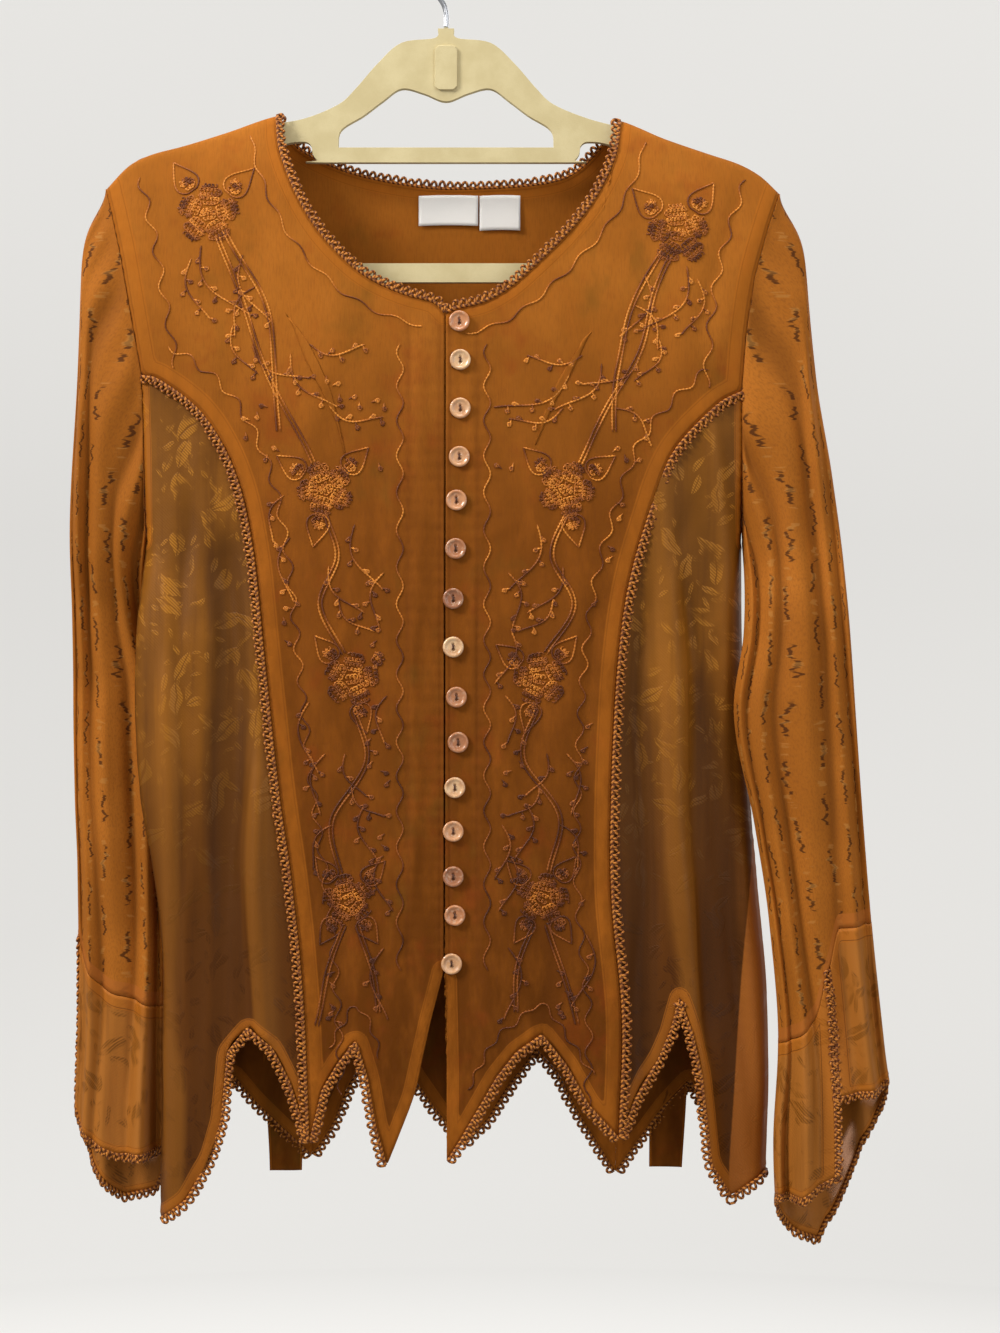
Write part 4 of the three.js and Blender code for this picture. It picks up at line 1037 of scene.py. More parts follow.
# Embroidery: chain stitch laid on the panel
class Stitches:
    """Lines of chain stitch gathered into one piece, with the thread's changing tone."""

    def __init__(self, panel):
        self.panel = panel
        self.points = []
        self.faces = []
        self.tones = []
        self.count = 0
        self.run = 0.0

    def line(self, points, wide=0.8, heart=None):
        """Sews a line; a heart (x, z, size) makes the thread paler toward a flower's middle."""
        line = resampled(np.asarray(points, float), STITCH_STEP)
        x, z = line[:, 0], line[:, 1]
        centre = self.panel.surface(x, z, STITCH_LIFT)
        up = self.panel.surface(x, z, STITCH_LIFT + 1) - centre
        link = np.where(np.arange(len(line)) % 2 == 0, 1.0, STITCH_WAIST)
        link[0] = link[-1] = 0.3
        high = STITCH_HIGH * link**0.5
        points, faces = tubes(centre[None], up[None], (wide * link)[None], high[None], sides=4)
        reach = self.run + lengths_of(line)
        deep = smooth(-300, -620, z)
        sway = 0.5 + 0.5 * np.sin(2 * np.pi * reach / 52 + 1.1 * np.sin(reach / 23))
        tone = np.clip(sway * (0.85 - 0.3 * deep) + 0.3 * (1 - deep), 0, 1)
        if heart:
            away = np.hypot(np.abs(x) - abs(heart[0]), z - heart[1])
            tone = np.clip(tone * 0.6 + 0.62 * smooth(heart[2] * 0.95, heart[2] * 0.3, away), 0, 1)
        self.points.append(points)
        self.faces.append(faces + self.count)
        self.tones.append(np.repeat(tone * (0.7 + 0.3 * link), 5))
        self.count += len(points)
        self.run = reach[-1] + 7

    def build(self, name):
        made = mesh_from(name, np.vstack(self.points), np.vstack(self.faces))
        attribute(made, "tone", np.concatenate(self.tones))
        return dress(made, THREAD, "braid")


def turned(shape, x, z, angle):
    """Moves a small motif, drawn about its own origin, to its place."""
    u, v = shape[:, 0], shape[:, 1]
    c, s = math.cos(angle), math.sin(angle)
    return np.stack([x + u * c - v * s, z + u * s + v * c], -1)


def curly_patch(wide, tall):
    """Rows of tight loops that fill an oval."""
    loop, pitch = 1.15, 2.3
    rows = max(int(2 * tall / 2.5), 2)
    base = []
    for row in range(rows):
        v = tall * (2 * (row + 0.5) / rows - 1)
        reach = wide * math.sqrt(1 - (v / tall) ** 2)
        ends = (-reach, reach) if row % 2 == 0 else (reach, -reach)
        base += [(ends[0], v), (ends[1], v)]
    line = resampled(np.array(base, float), pitch / 8)
    turn = 2 * np.pi * lengths_of(line) / pitch
    return line + loop * np.stack([np.cos(turn), np.sin(turn)], -1)


def flower(size):
    """Five petals and a heart, each filled with curls."""
    lines = [curly_patch(size * 0.2, size * 0.2)]
    for petal in range(5):
        angle = 2 * math.pi * petal / 5 + 0.3
        patch = curly_patch(size * 0.3, size * 0.34)
        lines.append(turned(patch, size * 0.6 * math.sin(angle), size * 0.6 * math.cos(angle), -angle))
    return lines


def leaf(size):
    """Pointed leaf drawn in outline from its round end, with a knot of curls in it."""
    t = np.linspace(-1, 1, 30)
    reach = np.abs(t)
    width = size * 0.36 * np.sin(np.pi * reach**0.6) * (1 - 0.25 * reach) * np.sign(t)
    outline = np.stack([width, size * (0.1 + reach)], -1)
    knot = curly_patch(size * 0.16, size * 0.2)
    return [outline, knot + [0, size * 0.38]]


def sprig(size):
    """Bending twig whose side shoots end in small curls."""
    def stalk_at(share):
        return np.stack([size * 0.16 * np.sin(np.pi * share * 1.3), size * share], -1)

    lines = [stalk_at(np.linspace(0, 1, 24))]
    count = max(int(size / 6.5), 3)
    for shoot in range(count):
        way = -1 if shoot % 2 else 1
        turn = np.linspace(0, 3.2 * math.pi, 22)
        curl_radius = 1.5 * (1 - 0.2 * turn / np.pi)
        curl = np.stack([way * (3.0 + np.cos(turn) * curl_radius), 2.2 + np.sin(turn) * curl_radius], -1)
        lines.append(np.vstack([[(0.0, 0.0), (way * 2.0, 1.2)], curl]) + stalk_at((shoot + 0.8) / count))
    return lines


# Flowers of the left front: x, z, size, turn, and the ways that their leaves point
FLOWERS = [
    (-148, -180, 21, 12, (34, -44)), (-74, -352, 19, 40, (56, -46, 168)), (-58, -470, 18, 8, (40, -52, 196)),
    (-60, -606, 17, 30, (38, -44, 148, 214)),
]
# Sprigs: x, z, length, turn
SPRIGS = [
    (-152, -200, 54, 208), (-158, -208, 40, 190), (-126, -206, 46, 196), (-120, -262, 42, 232),
    (-96, -268, 44, 214), (-76, -276, 52, 236), (-84, -262, 34, 262), (-96, -382, 40, 176),
    (-56, -374, 44, 196), (-72, -400, 36, 210), (-38, -404, 34, 168), (-84, -484, 44, 180),
    (-44, -500, 42, 196), (-74, -516, 38, 168), (-50, -548, 34, 186), (-92, -540, 34, 176),
    (-86, -628, 46, 184), (-38, -636, 44, 176), (-64, -646, 40, 170), (-34, -560, 34, 180),
    (-118, -226, 34, 150), (-104, -300, 34, 130), (-96, -330, 30, 110), (-88, -424, 30, 140),
    (-66, -420, 30, 220), (-70, -560, 30, 150), (-58, -536, 28, 220), (-100, -356, 30, 160),
    (-46, -330, 32, 250), (-40, -440, 34, 190), (-92, -460, 34, 170), (-40, -580, 34, 186),
    (-84, -576, 32, 170), (-62, -516, 30, 200), (-100, -420, 34, 182), (-132, -250, 34, 200),
    (-72, -300, 34, 250), (-66, -668, 28, 190), (-36, -480, 30, 170),
]
# Stems of two close lines, as points to curve through
STEMS = [
    [(-142, -194), (-130, -222), (-118, -262), (-100, -300), (-82, -336)],
    [(-138, -190), (-114, -232), (-106, -272), (-104, -316)],
    [(-74, -368), (-66, -394), (-78, -424), (-62, -454)],
    [(-56, -488), (-48, -520), (-70, -556), (-64, -590)],
    [(-62, -622), (-72, -650), (-80, -684)], [(-54, -622), (-44, -650), (-42, -676)],
]


def set_for(side, shape):
    """The right front's embroidery is the left one's turned over, and a little lower near the top."""
    if side == "left":
        return shape
    x, z = shape[:, 0], shape[:, 1]
    return np.stack([1 - x - 4 * smooth(-260, -170, z), z - 13 * smooth(-330, -200, z)], -1)


def embroider(side, panel, borders):
    """Sews a front's motifs and borders, leaving out what would cross a seam or the buttons."""
    work = Stitches(panel)
    room = 13.0
    buttons_x = -32 if side == "left" else 29

    def clear(shape):
        near = [np.min(seam_place(shape[:, 0], shape[:, 1], line)[0]) for line, _ in panel.bands]
        past = shape[:, 0].max() > buttons_x if side == "left" else shape[:, 0].min() < buttons_x
        return min(near) > room and not (past and shape[:, 1].max() < -250)

    def place(shape, x, z, angle):
        return set_for(side, turned(shape, x, z, angle))

    for x, z, size, turn, leaves in FLOWERS:
        for shape in flower(size):
            work.line(place(shape, x, z, math.radians(turn)), 0.62, heart=(x, z, size))
        for way in leaves:
            angle = math.radians(way)
            foot = (x - 0.72 * size * math.sin(angle), z + 0.72 * size * math.cos(angle))
            for shape in leaf(size * 1.12):
                placed = place(shape, *foot, angle)
                if clear(placed):
                    work.line(placed, 0.7)
    for x, z, size, turn in SPRIGS:
        for shape in sprig(size):
            placed = place(shape, x, z, math.radians(turn))
            if clear(placed):
                work.line(placed, 0.78)
    for stem in STEMS:
        line = set_for(side, spline(stem, 60))
        reach = lengths_of(line)
        sway = 0.8 * np.sin(reach / 13)
        normal = normals_2d(line)
        work.line(line + normal * (1.1 + sway)[:, None])
        work.line(line - normal * (1.1 - sway)[:, None])
    for line, height, length in borders:
        line = waved(line, height, length)
        work.line(line[line[:, 1] < shoulder_line(line[:, 0]) - 9], 0.64)
    work.build(f"embroidery_{side}")


# Buttons: a dished shell disc with two holes, threaded, and its loop of cord
def button(index, x, z, material):
    centre = body_point(FRONT, x, z, 0.5)
    normal = body_normal(FRONT, np.array([x]), np.array([z]))[0]
    up = unit(np.array([0.0, 0.0, 1.0]) - normal * normal[2])
    across = np.cross(up, normal)
    rings, around = 22, 44
    profile = [
        (0, 0), (0.55, 0), (0.93, 0.05), (1, 0.35), (0.99, 0.7), (0.93, 0.96), (0.85, 1), (0.75, 0.93),
        (0.66, 0.72), (0.6, 0.66), (0.3, 0.64), (0, 0.63),
    ]
    section = np.array(profile, float) * (BUTTON_RADIUS, BUTTON_THICK)
    reach = lengths_of(section)
    at = np.linspace(0, reach[-1], rings)
    radius, height = np.split(reader(section, reach)(at), 2, axis=1)
    turn = (2 * np.pi * np.arange(around) / around)[None]
    u, v = radius * np.cos(turn), radius * np.sin(turn)
    high = height + 0 * turn
    hole_place, hole_radius, hole_depth = 1.45, 0.85, 1.35
    inside_rim = at[:, None] > reach[6]
    for place in (-hole_place, hole_place):
        high = high - hole_depth * np.exp(-((np.hypot(u, v - place) / hole_radius) ** 6)) * inside_rim
    points = centre + across * u[..., None] + up * v[..., None] + normal * high[..., None]
    made = mesh_from(f"button_{index}_shell", points, grid_faces(rings, around, wraps=True, flip=True))
    dress(made, material, "shell", f"button_{index}")

    t = np.linspace(0, np.pi, 9)
    lines = []
    for shift in (-0.28, 0.28):
        lift = 1.25 + 0.85 * np.sin(t) ** 0.5
        along = up * (hole_place * np.cos(t))[:, None]
        lines.append(centre + across * shift + along + normal * lift[:, None])
    thin = np.full((2, 9), 0.3)
    sewn, sewn_faces = tubes(np.array(lines), np.tile(across, (2, 9, 1)), thin, thin)
    bend = np.linspace(-1.25, 1.25, 26)
    loop_x = -0.6 + (x - 0.4) * np.cos(bend * 0.94) ** 0.7
    loop_z = z + 5.2 * np.sin(bend) * (1 - 0.35 * np.cos(bend))
    loop = body_point(FRONT, loop_x, loop_z, 1.1 - 0.5 * np.cos(bend))
    thick = np.full((1, 26), 0.62)
    cord, cord_faces = tubes(loop[None], np.tile(normal, (1, 26, 1)), thick, thick)
    faces = np.vstack([sewn_faces, cord_faces + len(sewn)])
    dress(mesh_from(f"button_{index}_thread", np.vstack([sewn, cord]), faces), CORD, "braid")


# Hanger: the flat outline with its windows, filled, raised and rounded
def smooth_outline(rows, corners=(), each=6):
    """Closed soft curve through the rows, sharp at those named as corners."""
    count = len(rows)
    p = np.array(rows, float)
    out = []
    for i in range(count):
        a, b, c, d = p[i - 1], p[i], p[(i + 1) % count], p[(i + 2) % count]
        before = b - (c - b) if i in corners else a
        after = c + (c - b) if (i + 1) % count in corners else d
        out += [curve_point(before, b, c, after, t) for t in np.linspace(0, 1, each, endpoint=False)]
    return np.array(out)


def raised_plate(name, outlines, front, back, round_edge):
    """Flat plate between two depths; outlines inside the first are windows."""
    shape = bmesh.new()
    for outline in outlines:
        ring = [shape.verts.new((x * MM, front * MM, z * MM)) for x, z in outline]
        for a, b in zip(ring, ring[1:] + ring[:1]):
            shape.edges.new((a, b))
    bmesh.ops.triangle_fill(shape, use_beauty=True, edges=shape.edges[:])
    bmesh.ops.dissolve_limit(shape, angle_limit=0.01, verts=shape.verts[:], edges=shape.edges[:])
    made = bmesh.ops.extrude_face_region(shape, geom=shape.faces[:])
    moved = [v for v in made["geom"] if isinstance(v, bmesh.types.BMVert)]
    bmesh.ops.translate(shape, verts=moved, vec=(0, (back - front) * MM, 0))
    bmesh.ops.recalc_face_normals(shape, faces=shape.faces[:])
    mesh = bpy.data.meshes.new(name)
    shape.to_mesh(mesh)
    shape.free()
    piece = new_object(name, mesh)
    rim = piece.modifiers.new("round", "BEVEL")
    rim.width = round_edge * MM
    rim.segments = 3
    rim.limit_method = "ANGLE"
    rim.angle_limit = math.radians(60)
    mesh.polygons.foreach_set("use_smooth", np.ones(len(mesh.polygons), bool))
    soft = piece.modifiers.new("shade", "WEIGHTED_NORMAL")
    soft.keep_sharp = False
    return piece


def mirrored(rows):
    return [(-x, z) for x, z in rows][::-1]


def hanger(velvet):
    def under(x, gap=4.2):
        return float(shoulder_line(x)) - gap

    arm = [115, 130, 148, 166, 184, 198, 208]
    arch = [(5, -60), (7, -66), (28, -69), (43, -82), (57, -98), (68, -108), (90, -117)]
    tip = [(213, -176), (212, -190), (204, -206), (190, -220)]
    left_arm = [(-x, under(-x)) for x in arm][::-1]
    right_arm = [(x, under(x)) for x in arm]
    outline = [*left_arm, *mirrored(arch), *arch, *right_arm, *tip, *mirrored(tip)]
    half_arch = [(66, -124), (52, -115), (40, -106), (28, -98), (14, -101), (0, -106)]
    upper = [(-68, -135), (68, -135), *half_arch, *mirrored(half_arch[:-1])]
    foot = [(x, under(x, 18.2)) for x in (137, 166, 186)]
    bar_end = [(76, -144.5), (81, -143), (84, -139), (85, -134), (90, -131.5)]
    lower_right = [*bar_end, (105, -134), *foot, (194, -184), (188, -208)]
    lower = [*lower_right, *mirrored(lower_right)]
    peak = len(left_arm) + len(arch)
    last = len(outline)
    corners = {peak - 1, peak, last - 4, last - 5}
    outlines = [
        smooth_outline(outline, corners),
        smooth_outline(upper, {0, 1}),
        smooth_outline(lower, {len(lower_right) - 1, len(lower_right)}),
    ]
    plate = raised_plate("hanger_plate", outlines, -HANGER_HALF, HANGER_HALF, 1.4)
    dress(plate, velvet, "velvet", "hanger")
    half, top, bottom, cut = 7.2, -71, -99, 2.5
    tab = [
        (-half + cut, bottom), (half - cut, bottom), (half, bottom + cut), (half, top - cut),
        (half - cut, top), (-half + cut, top), (-half, top - cut), (-half, bottom + cut),
    ]
    raised = raised_plate("hanger_tab_plate", [smooth_outline(tab, set(range(8)), 2)], -4.2, -2.8, 0.5)
    dress(raised, velvet, "velvet", "hanger_tab")


def hook(material):
    inner, radius = 17.0, 1.6
    loop = inner + radius
    rows = [(0, -59.7), (0, -50), (-3, -42)]
    for i in range(11):
        angle = math.radians(225 - 25.5 * i)
        rows.append((loop * math.cos(angle), -inner + loop * math.sin(angle)))
    line = spline(rows, 190)
    centre = np.stack([line[:, 0], np.zeros(len(line)), line[:, 1]], -1)
    up = np.tile([0.0, 1.0, 0.0], (len(line), 1))
    thick = np.full(len(line), radius)
    thick[0] = thick[-1] = 0.3
    thick[1] = thick[-2] = radius * 0.9
    points, faces = tubes(centre[None], up[None], thick[None], thick[None], sides=16)
    return dress(mesh_from("hook_wire", points, faces), material, "steel", "hook")


# Ties that hang behind, with a soft twist, and the bare labels
def tie(side, x_middle):
    columns, rows = 9, 90
    top, length, half = -520, 264, 11
    u = np.linspace(-1, 1, columns)[None]
    t = np.linspace(0, 1, rows)[:, None]
    sign = OUTWARD[side]
    x = x_middle + half * u * (1 - 0.12 * np.sin(7 * t)) + 1.2 * np.sin(9 * t + sign)
    z = top - length * t + 0 * u
    lift = 1.2 + 0.7 * np.sin(11 * t + 2.2 * u + sign) + 0.5 * np.cos(5 * t)
    points = body_point(BACK, x, z, lift)
    made = mesh_from(f"tie_{side}_cloth", points, grid_faces(rows, columns, flip=True))
    attribute(made, "band", np.clip(1.3 - (1 - np.abs(u)) * 6 + 0 * t, 0, 1.3))
    flat_map(made, x, z)
    thicken(made, 0.7)
    return dress(made, RAYON, "rayon", f"tie_{side}")


def label(name, left, right, top, foot):
    columns, rows = 16, 10
    u = np.linspace(0, 1, columns)[None]
    t = np.linspace(0, 1, rows)[:, None]
    x = left + (right - left) * u + 0 * t
    z = top + (foot - top) * t + 0.5 * np.sin(3 * u)
    lift = -2.3 + 0.35 * np.sin(2.6 * u + 1.1 * t) - 0.5 * t
    made = mesh_from(name + "_ribbon", body_point(BACK, x, z, lift), grid_faces(rows, columns))
    flat_map(made, x, z)
    thicken(made, 0.4)
    return dress(made, WHITE, "label", name)


# Materials
def rayon_material():
    look = Look("rayon", on_cloth=True)
    place = look.place
    clouds = look.noise(place, 14, 4.0, 0.6)
    wash = look.noise(place, 70, 3.0, 0.65, stretch=(1.0, 1.0, 0.35))
    thread = look.noise(look.cloth, 1.1, 2.0, 0.6, stretch=(1.0, 0.12, 1.0))
    look.base = look.blend(look.ramp(clouds, 0.3, 0.7), (164, 96, 26), (184, 110, 34))
    # Lighter near the shoulders and darker toward the hem: partly the dye's own tone, partly painted light at
    # the top and painted shade lower down
    height = look.parts(place)[2]
    look.tint_from(height, -0.21, -0.40, 0.85, look.blend(clouds, (112, 58, 6), (134, 72, 12)))
    look.tint_from(height, -0.38, -0.74, 0.85, (102, 52, 2))
    look.tint_from(look.noise(place, 26, 3.0, 0.7), 0.52, 0.72, 0.35, (150, 62, 18))
    look.tint_from(look.noise(place, 19, 3.0, 0.7, stretch=(1.3, 1.0, 0.8)), 0.56, 0.74, 0.4, (112, 80, 22))
    look.tint_from(wash, 0.4, 0.75, 0.3, (180, 102, 28))
    look.tint_from(thread, 0.4, 0.8, 0.3, (118, 62, 24))
    # Painted shade in the fold troughs
    look.tint_from(look.read("painted_fold_shade"), 0.5, 0.95, 0.5, (92, 46, 6))
    band = look.read("band")
    worn = look.ramp(wash, 0.3, 0.7, 0.3, 0.6)
    look.tint(look.times(look.ramp(band, 0.58, 0.64), worn), (188, 108, 28))
    stitch = look.calc("MAXIMUM", look.line_at(band, 0.73, 0.045), look.line_at(band, 1.42, 0.06))
    stitch = look.calc("MAXIMUM", stitch, look.read("groove"))
    look.tint(look.times(stitch, 0.32), (110, 56, 14))
    fine = look.noise(place, 160, 4.0, 0.6)
    look.bump((fine, 0.5, 0.5), (stitch, -0.5, 0.3), (look.weave(0.7), 0.35, 0.08))
    look.let_through(0.2, "ShaderNodeBsdfTranslucent", Color=look.base)
    return look.finish(0.85, 0.12, (0.04, 0.5, (236, 160, 80)))


def leaf_mask(look, cloth, cell, long, wide, seed):
    """Scattered leaves, one in each cell, each at its own turn."""
    moved = look.vector("ADD", cloth, (seed, seed * 1.7, 0))
    grid = {"Vector": moved, "Scale": 1 / cell, "Randomness": 0.8}
    cells = look.add("ShaderNodeTexVoronoi", grid, voronoi_dimensions="2D").outputs
    away = look.vector("MULTIPLY", look.vector("SUBTRACT", moved, cells["Position"]), (1 / cell,) * 3)
    chance = look.add("ShaderNodeSeparateColor", {0: cells["Color"]}).outputs[0]
    turn = {"Vector": away, "Angle": look.calc("MULTIPLY_ADD", chance, 2.6, 0.3)}
    u, v, _ = look.parts(look.add("ShaderNodeVectorRotate", turn, rotation_type="Z_AXIS").outputs[0])
    off_spine = look.calc("ABSOLUTE", v)
    ends = look.calc("POWER", look.calc("DIVIDE", u, long), 2.0)
    edge = look.times(look.calc("SUBTRACT", 1.0, ends), wide)
    inside = look.ramp(look.calc("SUBTRACT", edge, off_spine), -0.008, 0.016)
    return look.times(inside, look.ramp(off_spine, 0.008, 0.026))


def figured_material(name, ground_tones, low_tone, thin=0.0):
    """Satin figured with leaves; thin is how much shows through it in patches."""
    look = Look(name, on_cloth=True)
    cloth, place = look.cloth, look.place
    swirl = look.add("ShaderNodeTexNoise", {"Vector": cloth, "Scale": 0.06, "Detail": 1.0}).outputs["Color"]
    bent = look.vector("ADD", cloth, look.vector("MULTIPLY", swirl, (9.0, 9.0, 0.0)))
    leaves = leaf_mask(look, bent, 24.0, 0.46, 0.17, 3.0)
    sprigs = leaf_mask(look, bent, 15.0, 0.46, 0.16, 41.0)
    small = leaf_mask(look, bent, 10.0, 0.42, 0.13, 77.0)
    few = look.ramp(look.noise(cloth, 0.03, 2.0), 0.44, 0.54)
    more = look.ramp(look.noise(cloth, 0.045, 2.0), 0.42, 0.52)
    sprigs = look.times(sprigs, few)
    small = look.times(small, look.calc("SUBTRACT", 1.0, few))
    figure = look.times(look.calc("MAXIMUM", leaves, look.calc("MAXIMUM", sprigs, small)), more)
    across, along, _ = look.parts(cloth)
    hatch = look.calc("SINE", look.times(look.calc("ADD", across, along), 3.1))
    ground = look.blend(look.ramp(look.noise(place, 16, 4.0), 0.3, 0.7), *ground_tones)
    # Darker toward the hem: partly the cloth's own tone, partly painted shade. The shine is a painted sheen
    # on the ribs and figures, and it darkens with it.
    low = look.ramp(look.parts(place)[2], -0.42, -0.66)
    ground = look.blend(low, ground, low_tone)
    shine = look.blend(low, (168, 110, 34), (66, 32, 2))
    ribs = look.blend(look.ramp(hatch, -0.4, 0.4), ground, shine)
    look.base = look.blend(look.times(figure, 0.85), ground, ribs)
    look.tint(look.times(figure, 0.25), shine)
    # Long dark vertical streaks: painted shade of small folds
    look.tint_from(look.noise(cloth, 0.12, 3.0, 0.6, stretch=(1.0, 0.06, 1.0)), 0.45, 0.75, 0.5, (74, 38, 6))
    painted_fold_shade, band = look.read("painted_fold_shade"), look.read("band")
    # Painted shade in the fold troughs, and a painted highlight on the fold ridges
    look.tint_from(painted_fold_shade, 0.5, 0.95, 0.5, (66, 34, 2))
    look.tint_from(painted_fold_shade, 0.5, 0.1, 0.3, (166, 104, 34))
    look.tint_from(band, 0.58, 0.64, 0.55, (172, 98, 22))
    look.tint(look.times(look.line_at(band, 0.73, 0.05), 0.6), (70, 36, 12))
    look.tint(look.ramp(look.read("plain"), 0.5, 0.53), (150, 86, 28))
    look.bump((look.noise(place, 120, 3.0), 0.4, 0.4), (figure, 0.45, 0.16), (hatch, 0.3, 0.06))
    if thin:
        patch = look.ramp(look.noise(place, 18, 2.0), 0.46, 0.6)
        patch = look.times(patch, look.times(look.read("foot"), thin))
        look.let_through(patch, "ShaderNodeBsdfTransparent", Color=srgb(255, 226, 206))
    return look.finish(look.calc("MULTIPLY_ADD", figure, -0.14, 0.58), 0.14, (0.02, 0.4, (220, 150, 60)))


def sheer_material():
    look = Look("sheer")
    place, down = look.place, look.read("down")
    across = look.times(look.read("around"), 150.0)
    flat = look.add("ShaderNodeCombineXYZ", {0: across, 1: down}).outputs[0]
    spacing = 9.0
    column = look.calc("FLOOR", look.calc("DIVIDE", across, spacing))
    chance = look.add("ShaderNodeTexWhiteNoise", {"W": column}, noise_dimensions="1D").outputs[0]
    jag = look.noise(flat, 1.0, 3.0, 0.7, stretch=(0.02, 0.17, 1.0))
    drift = look.noise(flat, 1.0, 1.0, 0.5, stretch=(0.02, 0.014, 1.0))
    sway = look.calc("MULTIPLY_ADD", jag, 9.0, look.calc("MULTIPLY_ADD", drift, 12.0, -10.5))
    middle = look.times(look.calc("ADD", column, 0.5), spacing)
    away = look.calc("ABSOLUTE", look.calc("SUBTRACT", look.calc("SUBTRACT", across, middle), sway))
    place_down = look.calc("MULTIPLY_ADD", chance, 7.0, look.calc("DIVIDE", down, 36.0))
    place_down = look.calc("FRACT", place_down)
    knots = look.noise(flat, 1.0, 2.0, 0.6, stretch=(0.05, 0.22, 1.0))
    streak = look.times(look.ramp(away, 0.85, 0.4), look.ramp(place_down, 0.62, 0.54))
    streak = look.times(streak, look.ramp(knots, 0.37, 0.42))
    fleck = look.times(look.ramp(away, 1.5, 0.9), look.ramp(knots, 0.54, 0.6))
    fleck = look.times(fleck, look.ramp(place_down, 0.1, 0.3))
    fine = look.noise(flat, 2.2, 2.0, 0.6, stretch=(1.0, 0.2, 1.0))
    look.base = look.blend(look.ramp(look.noise(place, 12, 3.0), 0.3, 0.7), (184, 110, 32), (208, 128, 42))
    look.tint_from(fine, 0.4, 0.75, 0.4, (140, 76, 30))
    # Painted shade in the sleeve fold troughs
    look.tint_from(look.read("painted_fold_shade"), 0.5, 0.95, 0.4, (112, 58, 12))
    look.tint(look.times(streak, 0.82), (78, 38, 14))
    look.tint(look.times(fleck, 0.5), (204, 144, 70))
    look.tint_from(look.read("band"), 0.6, 0.66, 0.75, (196, 116, 46))
    look.bump((look.noise(place, 190, 3.0), 0.35, 0.3), (fine, 0.3, 0.12))
    look.let_through(0.32, "ShaderNodeBsdfTranslucent", Color=look.base)
    look.let_through(0.08, "ShaderNodeBsdfTransparent")
    return look.finish(0.75, 0.15, (0.05, 0.5, (236, 170, 90)))


def braid_material():
    look = Look("braid")
    ply = look.calc("SINE", look.times(look.read("twist"), 2 * math.pi))
    look.base = look.blend(look.ramp(ply, -0.35, 0.35), (98, 50, 14), (192, 120, 46))
    look.tint_from(look.noise(look.place, 90, 2.0), 0.4, 0.7, 0.4, (104, 50, 20))
    look.bump((ply, 0.6, 0.2), (look.noise(look.place, 900, 2.0), 0.5, 0.15))
    return look.finish(0.6, 0.25, (0.04, 0.4, (240, 180, 100)))


# Tones of the embroidery thread from dark to pale: place, then red, green and blue
THREAD_TONES = [
    (0.0, (72, 32, 10)), (0.3, (104, 50, 14)), (0.55, (150, 82, 24)), (0.8, (194, 114, 34)),
    (1.0, (222, 142, 50)),
]


def thread_material():
    look = Look("embroidery_thread")
    ramp = look.add("ShaderNodeValToRGB", {0: look.read("tone")})
    stops = ramp.color_ramp.elements
    for stop, (_, tone) in zip(stops, (THREAD_TONES[0], THREAD_TONES[-1])):
        stop.color = srgb(*tone)
    for position, tone in THREAD_TONES[1:-1]:
        stops.new(position).color = srgb(*tone)
    fuzz = look.noise(look.place, 700, 2.0, 0.6)
    look.base = ramp.outputs[0]
    look.tint_from(fuzz, 0.4, 0.7, 0.35, (110, 58, 24))
    look.bump((fuzz, 0.5, 0.2))
    return look.finish(0.5, 0.3, (0.05, 0.4, (246, 180, 100)))


def cord_material():
    look = Look("button_thread")
    look.base = look.blend(look.noise(look.place, 1200, 2.0, 0.6), (48, 22, 12), (96, 52, 26))
    return look.finish(0.6)


def shell_material(shade):
    look = Look(f"shell_{int(shade * 100)}")
    sway = look.noise(look.place, 210, 3.0, 0.6)
    dark, middle, pale = (np.array(tone, float) for tone in SHELL_TONES)
    near, far = (dark, middle) if shade < 0.5 else (middle, pale)
    share = 2 * shade if shade < 0.5 else 2 * shade - 1
    main = near * (1 - share) + far * share
    other = (main * 0.6 + middle * 0.4) * [0.8, 0.72, 0.66, 1]
    look.base = look.blend(look.ramp(sway, 0.35, 0.65), [*main], [*other])
    look.tint_from(look.noise(look.place, 420, 2.0), 0.5, 0.7, 0.3, (238, 210, 176))
    look.bump((sway, 0.25, 0.2))
    return look.finish(0.28, more={"Coat Weight": 0.4, "Coat Roughness": 0.15})


def label_material():
    look = Look("label", on_cloth=True)
    grain = look.weave(0.5)
    look.base = look.blend(look.ramp(grain, -1.0, 1.0), (226, 222, 216), (240, 238, 234))
    look.bump((grain, 0.3, 0.06))
    return look.finish(0.5, sheen=(0.2, 0.4, (255, 255, 255)))


def velvet_material():
    look = Look("velvet")
    nap = look.noise(look.place, 1500, 2.0, 0.7)
    brushed = look.noise(look.place, 45, 3.0, 0.6)
    look.base = look.blend(look.ramp(brushed, 0.3, 0.7), (196, 180, 134), (208, 193, 148))
    look.tint_from(nap, 0.45, 0.75, 0.3, (192, 175, 124))
    look.bump((nap, 0.6, 0.15))
    return look.finish(0.95, sheen=(0.2, 0.5, (255, 246, 200)))


def steel_material():
    look = Look("steel")
    wear = look.noise(look.place, 300, 3.0, 0.6)
    look.base = look.blend(wear, (176, 178, 182), (206, 208, 212))
    return look.finish(look.ramp(wear, 0.3, 0.7, 0.2, 0.34), more={"Metallic": 1.0})


# Shell from dark through middle to pale
SHELL_TONES = [srgb(118, 66, 42), srgb(198, 134, 88), srgb(232, 196, 148)]
RAYON, SHEER = rayon_material(), sheer_material()
FIGURED = figured_material("figured_rayon", ((110, 65, 9), (132, 80, 16)), (88, 46, 2))
FLOUNCE = figured_material("figured_flounce", ((150, 90, 32), (172, 108, 46)), (158, 96, 36), 0.6)
BRAID, THREAD, CORD, WHITE = braid_material(), thread_material(), cord_material(), label_material()

